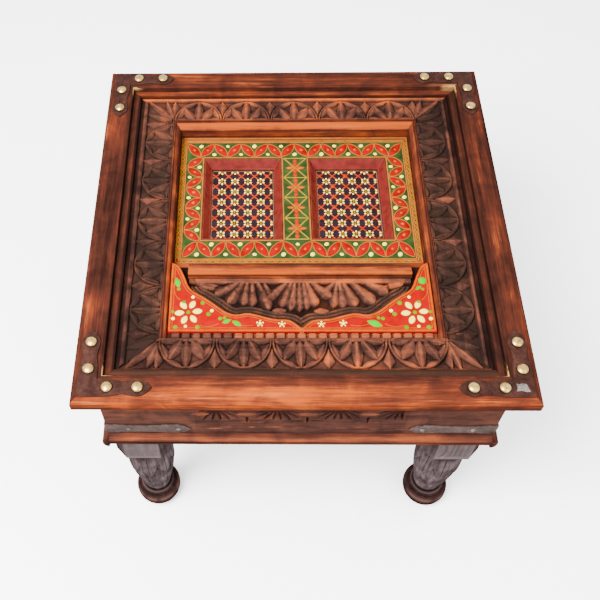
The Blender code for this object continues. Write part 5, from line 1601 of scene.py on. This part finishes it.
def make_lattices(paints):
    """Orange lattice with white flowers on each dark window board."""
    crosses, petals, hearts, frames, knots = [], [], [], [], []
    for side in ("left", "right"):
        low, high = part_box("window_lattice_" + side)
        face = high.z + PAINT_LIFT
        first = low_x, low_y = low.x + LATTICE_MARGIN, low.y + LATTICE_MARGIN
        last = high_x, high_y = high.x - LATTICE_MARGIN, high.y - LATTICE_MARGIN
        frames.append(rectangle_path(*first, *last, face))
        for i in range(-1, 6):
            for j in range(-1, 8):
                x = low_x + LATTICE_START[0] + LATTICE_PITCH[0] * i
                y = low_y + LATTICE_START[1] + LATTICE_PITCH[1] * j
                if low_x + 0.003 < x < high_x + 0.002 and low_y < y < high_y + 0.002:
                    hearts.append(((min(x, high_x - 0.004), min(y, high_y - 0.003), face), 0.2, 0.0017))
                for k in range(6):
                    angle = math.pi / 6 + k * math.pi / 3
                    px, py = x + FLOWER_RADIUS * math.cos(angle), y + FLOWER_RADIUS * math.sin(angle)
                    if within((px, py), first, last, PETAL_MARGIN):
                        petals.append(((px, py, face), angle, 0.0017))
                cx, cy = x + LATTICE_PITCH[0] / 2, y + LATTICE_PITCH[1] / 2
                for sign in (-1, 1):
                    stroke = clipped((cx - CROSS_REACH, cy - sign * CROSS_REACH),
                                     (cx + CROSS_REACH, cy + sign * CROSS_REACH), first, last)
                    if stroke:
                        crosses.append(([(*p, face) for p in stroke], False))
                if within((cx, cy), first, last, KNOT_MARGIN):
                    knots.append(((cx, cy, face + 0.0003), 0.4, 0.0029))
    orange = paints["cross_orange"]
    brush_lines("lattice_crosses", crosses, 0.0022, orange, "navy_paint", 0.0005, 0.0014, 6.0)
    brush_lines("lattice_frames", frames, 0.0016, paints["frame_tan"], "navy_paint", 0.0005, 0.0008, 7.0)
    petal = pad_pattern("petal", circle_outline(8, 1.15, 0.9), 0.42)
    heart = pad_pattern("flower_heart", circle_outline(8), 0.4)
    set_out("flower_petals", petal, petals, paints["white"], "navy_paint", 0.14, 0.3, 11)
    set_out("flower_hearts", heart, hearts, paints["yellow_green"], "navy_paint", 0.12, 0.3, 12)
    set_out("lattice_knots", heart, knots, paints["orange_red"], "navy_paint", 0.35, 0.8, 19)


def clipped(a, b, low, high):
    """Part of a segment that lies inside a rectangle, or None."""
    start, end = 0.0, 1.0
    for axis in (0, 1):
        run = b[axis] - a[axis]
        first, last = (low[axis] - a[axis]) / run, (high[axis] - a[axis]) / run
        start, end = max(start, min(first, last)), min(end, max(first, last))
    if end - start < 0.15:
        return None
    return [(a[0] + (b[0] - a[0]) * t, a[1] + (b[1] - a[1]) * t) for t in (start, end)]


def bezier(start, control, end, steps):
    """Points along a curve that leaves its start and meets its end towards a control point."""
    points = []
    for i in range(steps):
        t = i / steps
        points.append(tuple((1 - t) ** 2 * s + 2 * t * (1 - t) * c + t * t * e
                            for s, c, e in zip(start, control, end)))
    return points


def scallop_outline():
    """Outline of the scalloped board's upper face, anticlockwise from its front left corner."""
    front = SCALLOP_LOW.y
    upper = {(round(v.co.x, 6), round(v.co.y, 6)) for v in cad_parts["scalloped_board"].data.vertices
             if v.co.z > SCALLOP_HIGH.z - 1e-4}
    curved_edge = sorted((p for p in upper if p[1] > front + 0.001), reverse=True)
    return [(SCALLOP_LOW.x, front), (SCALLOP_HIGH.x, front)] + curved_edge


def inset_path(outline, inset):
    """Outline moved inwards by an even distance, for an outline that runs anticlockwise."""
    count = len(outline)
    path = []
    for i in range(count):
        before, here, after = (Vector(outline[(i + k) % count]) for k in (-1, 0, 1))
        a, b = (here - before).normalized(), (after - here).normalized()
        bisector = Vector((-a.y - b.y, a.x + b.x))
        scale = 1 + a.dot(b)
        path.append(here + bisector * inset / max(scale, 0.35))
    return path


FLOWER_PLACE = (0.1565, 0.031)
FLOWER_REACH = (0.0126, 0.0134)
PETAL_LENGTH = 0.0138
# Leaves of the left half and of the right half: out from the middle, up from the front, tilt, length
BOARD_LEAVES = {
    -1: ((0.1740, 0.080, 70, 0.0190), (0.103, 0.0165, -20, 0.0140), (0.0890, 0.0130, 30, 0.0165)),
    1: ((0.1660, 0.071, 40, 0.0110), (0.1000, 0.0130, -22, 0.0225)),
}
ROUND_LEAF = (0.1725, 0.0830, 0.0062)
BOARD_GREEN_DOTS = ((0.1635, 0.0472, 0.0034), (0.1370, 0.0462, 0.0036), (0.1785, 0.032, 0.0030),
                    (0.1285, 0.028, 0.0032), (0.1735, 0.0072, 0.0034), (0.1430, 0.0072, 0.0034),
                    (0.1715, 0.069, 0.0026), (0.1120, 0.021, 0.0032), (0.1060, 0.022, 0.0026))
BOARD_WHITE_DOTS = ((0.1510, 0.0557, 0.0027), (0.1240, 0.0335, 0.0027), (0.1775, 0.0208, 0.0027),
                    (0.1596, 0.0085, 0.0026), (0.0570, 0.0132, 0.0026), (0.0270, 0.0120, 0.0026))
DAISY_REACH = 0.0042
# Tendrils by their start, control point and end
TENDRILS = (((0.1790, 0.078), (0.1790, 0.055), (0.1650, 0.049)),
            ((0.1400, 0.010), (0.1250, 0.004), (0.1100, 0.0155)),
            ((0.0960, 0.0145), (0.0800, 0.0050), (0.0620, 0.0120)))


def make_scallop_paint(paints):
    """Orange outlines, a white flower in each corner, leaves, dots and tendrils."""
    face = SCALLOP_HIGH.z + PAINT_LIFT
    front = SCALLOP_LOW.y
    outline = scallop_outline()
    orange = paints["edge_orange"]
    edges = [([(p.x, p.y, face) for p in inset_path(outline, 0.0022)], True)]
    brush_lines("board_edge", edges, 0.0034, orange, "red_paint", 0.0006, 0.0008, 8.0)
    inner = [([(p.x, p.y, face) for p in inset_path(outline, 0.0058)], True)]
    brush_lines("board_line", inner, 0.0016, orange, "red_paint", 0.0005, 0.0008, 9.0)
    petals, hearts, leaves, greens, whites, tendrils = [], [], [], [], [], []
    for side in (-1, 1):
        fx, fy = side * FLOWER_PLACE[0], front + FLOWER_PLACE[1]
        for k in range(6):
            angle = k * math.pi / 3 + 0.1
            place = (fx + FLOWER_REACH[0] * math.cos(angle), fy + FLOWER_REACH[1] * math.sin(angle), face)
            petals.append((place, angle, PETAL_LENGTH))
        hearts.append(((fx, fy, face), 0.0, 0.0030))
        for x, y, degrees, length in BOARD_LEAVES[side]:
            angle = math.radians(degrees)
            leaves.append(((side * x, front + y, face), angle if side > 0 else math.pi - angle, length))
        greens += [((side * x, front + y, face), 0.2, size) for x, y, size in BOARD_GREEN_DOTS]
        whites += [((side * x, front + y, face), 0.2, size) for x, y, size in BOARD_WHITE_DOTS]
        for x, y, _ in BOARD_WHITE_DOTS[-2:]:
            for k in range(5):
                angle = k * 2 * math.pi / 5 + 0.3
                whites.append(((side * x + DAISY_REACH * math.cos(angle),
                                front + y + DAISY_REACH * math.sin(angle), face), angle, 0.0013))
        for tendril in TENDRILS:
            tendrils.append(([(side * x, front + y, face) for x, y in bezier(*tendril, 8)], False))
    petal = pad_pattern("white_petal", leaf_outline(1.0, 0.62, 8, 0.66), 0.065)
    rim = leaf_outline(PETAL_LENGTH * 1.08, PETAL_LENGTH * 0.68, 8, 0.66)
    rims = [laid_outline(rim, place, turn) for place, turn, _ in petals]
    brush_lines("petal_rims", rims, 0.0014, orange, "red_paint", 0.0005, 0.0004, 11.0)
    heart = pad_pattern("flower_eye", circle_outline(10), 0.35)
    leaf = pad_pattern("green_leaf", leaf_outline(1.0, 0.46, 6), 0.06)
    dot = pad_pattern("board_dot", circle_outline(9), 0.34)
    set_out("board_petals", petal, petals, paints["white"], "red_paint", 0.06, 0.08, 13)
    set_out("board_hearts", heart, hearts, paints["leaf_green"], "red_paint", 0.05, 0.2, 14)
    set_out("board_leaves", leaf, leaves, paints["light_green"], "red_paint", 0.06, 0.08, 15)
    x, y, size = ROUND_LEAF
    set_out("round_leaf", dot, [((x, front + y, face), 0.0, size)], paints["light_green"], "red_paint")
    set_out("board_green_dots", dot, greens, paints["leaf_green"], "red_paint", 0.15, 0.5, 16)
    set_out("board_white_dots", dot, whites, paints["white"], "red_paint", 0.12, 0.5, 17)
    brush_lines("board_tendrils", tendrils, 0.0018, orange, "red_paint", 0.0005, 0.0008, 10.0)


DENTIL_PITCH = 0.0144
DENTIL_LENGTH = 0.0124
DENTIL_ROUNDING = 0.0026
DENTIL_RISE = 0.0052
# Blocks left of this place are dark
DARK_DENTILS = -0.095


def dentil_pattern(name, length, depth, rise, lit_tone):
    """Small block with rounded edges, its top at the given tone and its sides darker, as painted shade."""
    mesh = bpy.data.meshes.new(name)
    work = bmesh.new()
    bmesh.ops.create_cube(work, size=1.0)
    for vertex in work.verts:
        upper = vertex.co.z > 0
        vertex.co.x *= length * (0.84 if upper else 1.0)
        vertex.co.y *= depth * (0.94 if upper else 1.0)
        vertex.co.z = rise if upper else -0.0008
    bmesh.ops.bevel(work, geom=list(work.edges), offset=DENTIL_ROUNDING, segments=3, profile=0.6,
                    affect="EDGES")
    work.to_mesh(mesh)
    work.free()
    # The top takes the given tone; the sides are darker, as painted shade
    mark_points(mesh, "glow", [lit_tone if v.co.z > 0.002 else lit_tone - 1.6 for v in mesh.vertices])
    return bpy.data.objects.new(name, mesh)


def make_dentils(wood, dark_wood):
    """Row of small rounded blocks on a strip, the ones on the left darker."""
    low, high = DENTIL_LOW, DENTIL_HIGH
    strip_top = high.z - DENTIL_RISE
    profile = [(low.y, low.z), (low.y, strip_top), (high.y, strip_top), (high.y, low.z)]

    def tone(x, y, z):
        return {"hollow": np.where(z > strip_top - 0.001, 0.15, 0.3),
                "glow": np.where(x > DARK_DENTILS, 1.5, -0.5)}

    strip = moulding("dentil_back", resampled(profile, 0.004), lambda y: high.x, 60, wood, Matrix(), tone)
    settle(strip, "carved_wood", "dentil_strip")
    size = (DENTIL_LENGTH, 0.88 * (high.y - low.y), high.z - strip_top)
    block = dentil_pattern("dentil", *size, 2.2)
    dark_block = dentil_pattern("dark_dentil", *size, -0.1)
    count = int((high.x - low.x) / DENTIL_PITCH)
    places = [(((k - (count - 1) / 2) * DENTIL_PITCH, (low.y + high.y) / 2, strip_top), 0.0, 1.0)
              for k in range(count)]
    dark = [place for place in places if place[0][0] < DARK_DENTILS]
    set_out("dentils_dark", dark_block, dark, dark_wood, "carved_wood", 0.06, 0.09, 20)
    set_out("dentils", block, places[len(dark):], wood, "carved_wood", 0.06, 0.09, 18)


# Stage

PHOTO_SIZE = 600
FOCAL_PIXELS = 856.4
PRINCIPAL_POINT = (235.6, 262.2)
CAMERA_PLACE = (-0.0640, -0.7743, 1.5074)
CAMERA_PITCH = 55.63
CAMERA_YAW = -2.30
CAMERA_ROLL = 1.97


def add_camera():
    """Camera fitted to the corners of the top and the feet in the photo."""
    pitch, yaw, roll = (math.radians(a) for a in (CAMERA_PITCH, CAMERA_YAW, CAMERA_ROLL))
    forward = Vector((math.sin(yaw) * math.cos(pitch), math.cos(yaw) * math.cos(pitch), -math.sin(pitch)))
    level = Vector((math.cos(yaw), -math.sin(yaw), 0))
    sunk = forward.cross(level)
    right = math.cos(roll) * level + math.sin(roll) * sunk
    down = -math.sin(roll) * level + math.cos(roll) * sunk
    data = bpy.data.cameras.new("camera")
    data.sensor_width = 36.0
    data.lens = FOCAL_PIXELS / PHOTO_SIZE * data.sensor_width
    data.shift_x = 0.5 - PRINCIPAL_POINT[0] / PHOTO_SIZE
    data.shift_y = PRINCIPAL_POINT[1] / PHOTO_SIZE - 0.5
    turn = Matrix((right, -down, -forward)).transposed().to_4x4()
    camera = add_object("camera", data)
    camera.matrix_world = Matrix.Translation(CAMERA_PLACE) @ turn
    bpy.context.scene.camera = camera


FLOOR_HALF = 6.0
FLOOR_LEVEL = -0.0003
SKY_STRENGTH = 3.3
# Soft lights: place, target, size, power
LIGHTS = {"key": ((-0.9, -0.75, 2.15), (0, 0, 0.45), 1.2, 300.0),
          "fill": ((1.3, -1.2, 1.6), (0, 0, 0.4), 1.6, 40.0)}


def add_area_light(name, place, target, size, energy):
    data = bpy.data.lights.new(name, "AREA")
    data.shape = "DISK"
    data.size = size
    data.energy = energy
    aim = (Vector(target) - Vector(place)).to_track_quat("-Z", "Y")
    add_object(name, data).matrix_world = Matrix.Translation(place) @ aim.to_matrix().to_4x4()


def add_stage():
    """Pale floor, soft sky and two large soft lights."""
    corners, _ = rectangle_path(-FLOOR_HALF, -FLOOR_HALF, FLOOR_HALF, FLOOR_HALF, FLOOR_LEVEL)
    mesh = new_mesh("floor", corners, [], [[0, 1, 2, 3]])
    material, graph, shader, coords = new_finish("pale_floor", 0.9)
    pale = graph.ramp(graph.noise(coords, 3.0, 2.0), ((0.3, (0.945,) * 3), (0.7, (0.955,) * 3)))
    graph.feed(shader, "Base Color", pale)
    mesh.materials.append(material)
    add_object("floor", mesh)
    world = bpy.data.worlds.new("sky")
    world.use_nodes = True
    sky = world.node_tree.nodes["Background"].inputs
    sky[0].default_value = (1.0, 1.0, 1.0, 1.0)
    sky[1].default_value = SKY_STRENGTH
    bpy.context.scene.world = world
    for name, values in LIGHTS.items():
        add_area_light(name, *values)


# Colours of each wood from dark to light, and of its wear and painted highlight
RAIL_STOPS = ((0.0079, 0.0028, 0.0021), (0.0164, 0.0053, 0.0035), (0.0310, 0.0077, 0.0045),
              (0.0610, 0.0122, 0.0050), (0.155, 0.0260, 0.0032))
# Colour of the rails' painted sheen streaks
RAIL_SHEEN_COLOUR = (0.14, 0.03, 0.006)
STRIP_STOPS = ((0.0085, 0.0033, 0.0028), (0.017, 0.0060, 0.0046), (0.030, 0.0098, 0.0068),
               (0.054, 0.0150, 0.0085), (0.125, 0.0290, 0.0095))
STRIP_WORN = (0.13, 0.031, 0.009)
CARVED_STOPS = ((0.0085, 0.0040, 0.0033), (0.0200, 0.0081, 0.0059), (0.040, 0.0140, 0.0090),
                (0.072, 0.0192, 0.0088), (0.17, 0.034, 0.0085))
CARVED_WEAR_AND_HIGHLIGHT = (0.1467, 0.0413, 0.016)
APRON_STOPS = ((0.0150, 0.0068, 0.0055), (0.0270, 0.0112, 0.0085), (0.042, 0.0158, 0.0108),
               (0.078, 0.0215, 0.0110), (0.17, 0.038, 0.0120))
APRON_WEAR_AND_HIGHLIGHT = (0.12, 0.0300, 0.0105)
BARE_STOPS = ((0.04, 0.0233, 0.012), (0.06, 0.0367, 0.02), (0.08, 0.05, 0.028), (0.1067, 0.0667, 0.04),
              (0.1333, 0.0867, 0.0533))
# Colour of each paint, and how far it clouds
PAINT_COLOURS = {
    "white": ((0.45, 0.375, 0.06), 0.03),
    "leaf_red": ((0.128, 0.0006, 0.0009), 0.14),
    "salmon": ((0.2133, 0.032, 0.0007), 0.10),
    "yellow": ((0.11, 0.05, 0.0003), 0.12),
    "gold": ((0.16, 0.045, 0.0055), 0.12),
    "edge_orange": ((0.168, 0.024, 0.0006), 0.10),
    "cross_orange": ((0.168, 0.018, 0.0025), 0.12),
    "frame_tan": ((0.070, 0.036, 0.018), 0.15),
    "rim_yellow": ((0.150, 0.068, 0.0040), 0.12),
    "orange_red": ((0.165, 0.0105, 0.0004), 0.12),
    "pale_green": ((0.125, 0.082, 0.007), 0.12),
    "yellow_green": ((0.08, 0.0667, 0.0027), 0.12),
    "leaf_green": ((0.05, 0.0933, 0.002), 0.12),
    "light_green": ((0.008, 0.16, 0.0007), 0.12),
    "red": ((0.135, 0.0002, 0.0002), 0.08),
    "navy": ((0.0088, 0.0050, 0.0074), 0.15),
}
MAROON = (0.060, 0.0056, 0.0042)
# Colours of each iron: dark, middle, light
IRON_TONES = {
    "dark_iron": ((0.0090, 0.0037, 0.0029), (0.0165, 0.0066, 0.0050), (0.029, 0.0115, 0.0082)),
    "worn_iron": ((0.0117, 0.0064, 0.0054), (0.0277, 0.0165, 0.0142), (0.060, 0.038, 0.0325)),
    "bare_iron": ((0.030, 0.0250, 0.022), (0.066, 0.057, 0.051), (0.13, 0.116, 0.105)),
}


def wood_pair(name, *values, **options):
    """The same stained wood with its grain along X and along Y."""
    return {axis: stained_wood(name + "_" + axis, axis, *values, **options) for axis in ("X", "Y")}


def main():
    rail_woods = wood_pair("rail_wood", RAIL_STOPS, RAIL_SHEEN_COLOUR, roughness=0.38, streaks=0.7)
    strip_woods = wood_pair("strip_wood", STRIP_STOPS, STRIP_WORN, roughness=0.38)
    carved_woods = wood_pair("carved_wood", CARVED_STOPS, CARVED_WEAR_AND_HIGHLIGHT, roughness=0.44, grain=0.4)
    apron_woods = wood_pair("apron_wood", APRON_STOPS, APRON_WEAR_AND_HIGHLIGHT, roughness=0.44, grain=0.7)
    paints = {name: gloss_paint(name + "_paint", colour, spread)
              for name, (colour, spread) in PAINT_COLOURS.items()}
    paints["maroon"] = gloss_paint("gloss_maroon", MAROON, 0.15, 0.30, 0.06)
    irons = {name: forged_iron(name, *tones) for name, tones in IRON_TONES.items()}

    make_rails(rail_woods)
    for side in TURNS:
        frame_board(side, carved_woods[GRAIN[side]])
        make_apron(side, apron_woods[GRAIN[side]])
    make_fan_panel(carved_woods["X"])
    make_inner_mouldings(rail_woods)
    make_sill(rail_woods)
    make_base_mouldings(strip_woods)
    make_dentils(strip_woods["X"], carved_woods["X"])
    make_legs(leg_finish())
    make_ironwork(irons, polished_brass())

    eased_copy("painted_panel", painted_field(), 0.0006, "green_paint")
    eased_copy("scalloped_board", paints["red"], 0.0010, "red_paint")
    for side in ("left", "right"):
        eased_copy("window_reveal_" + side, paints["maroon"], 0.0006, "maroon_paint")
        eased_copy("window_lattice_" + side, paints["navy"], 0.0003, "navy_paint")
    make_leaf_border(paints)
    make_panel_lines(paints)
    make_mullion(paints)
    make_lattices(paints)
    make_scallop_paint(paints)
    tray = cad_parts["tray_bottom"]
    tray.data.materials.clear()
    tray.data.materials.append(stained_wood("bare_wood", "X", BARE_STOPS, BARE_WOOD, 0.7))
    add_camera()
    add_stage()


main()
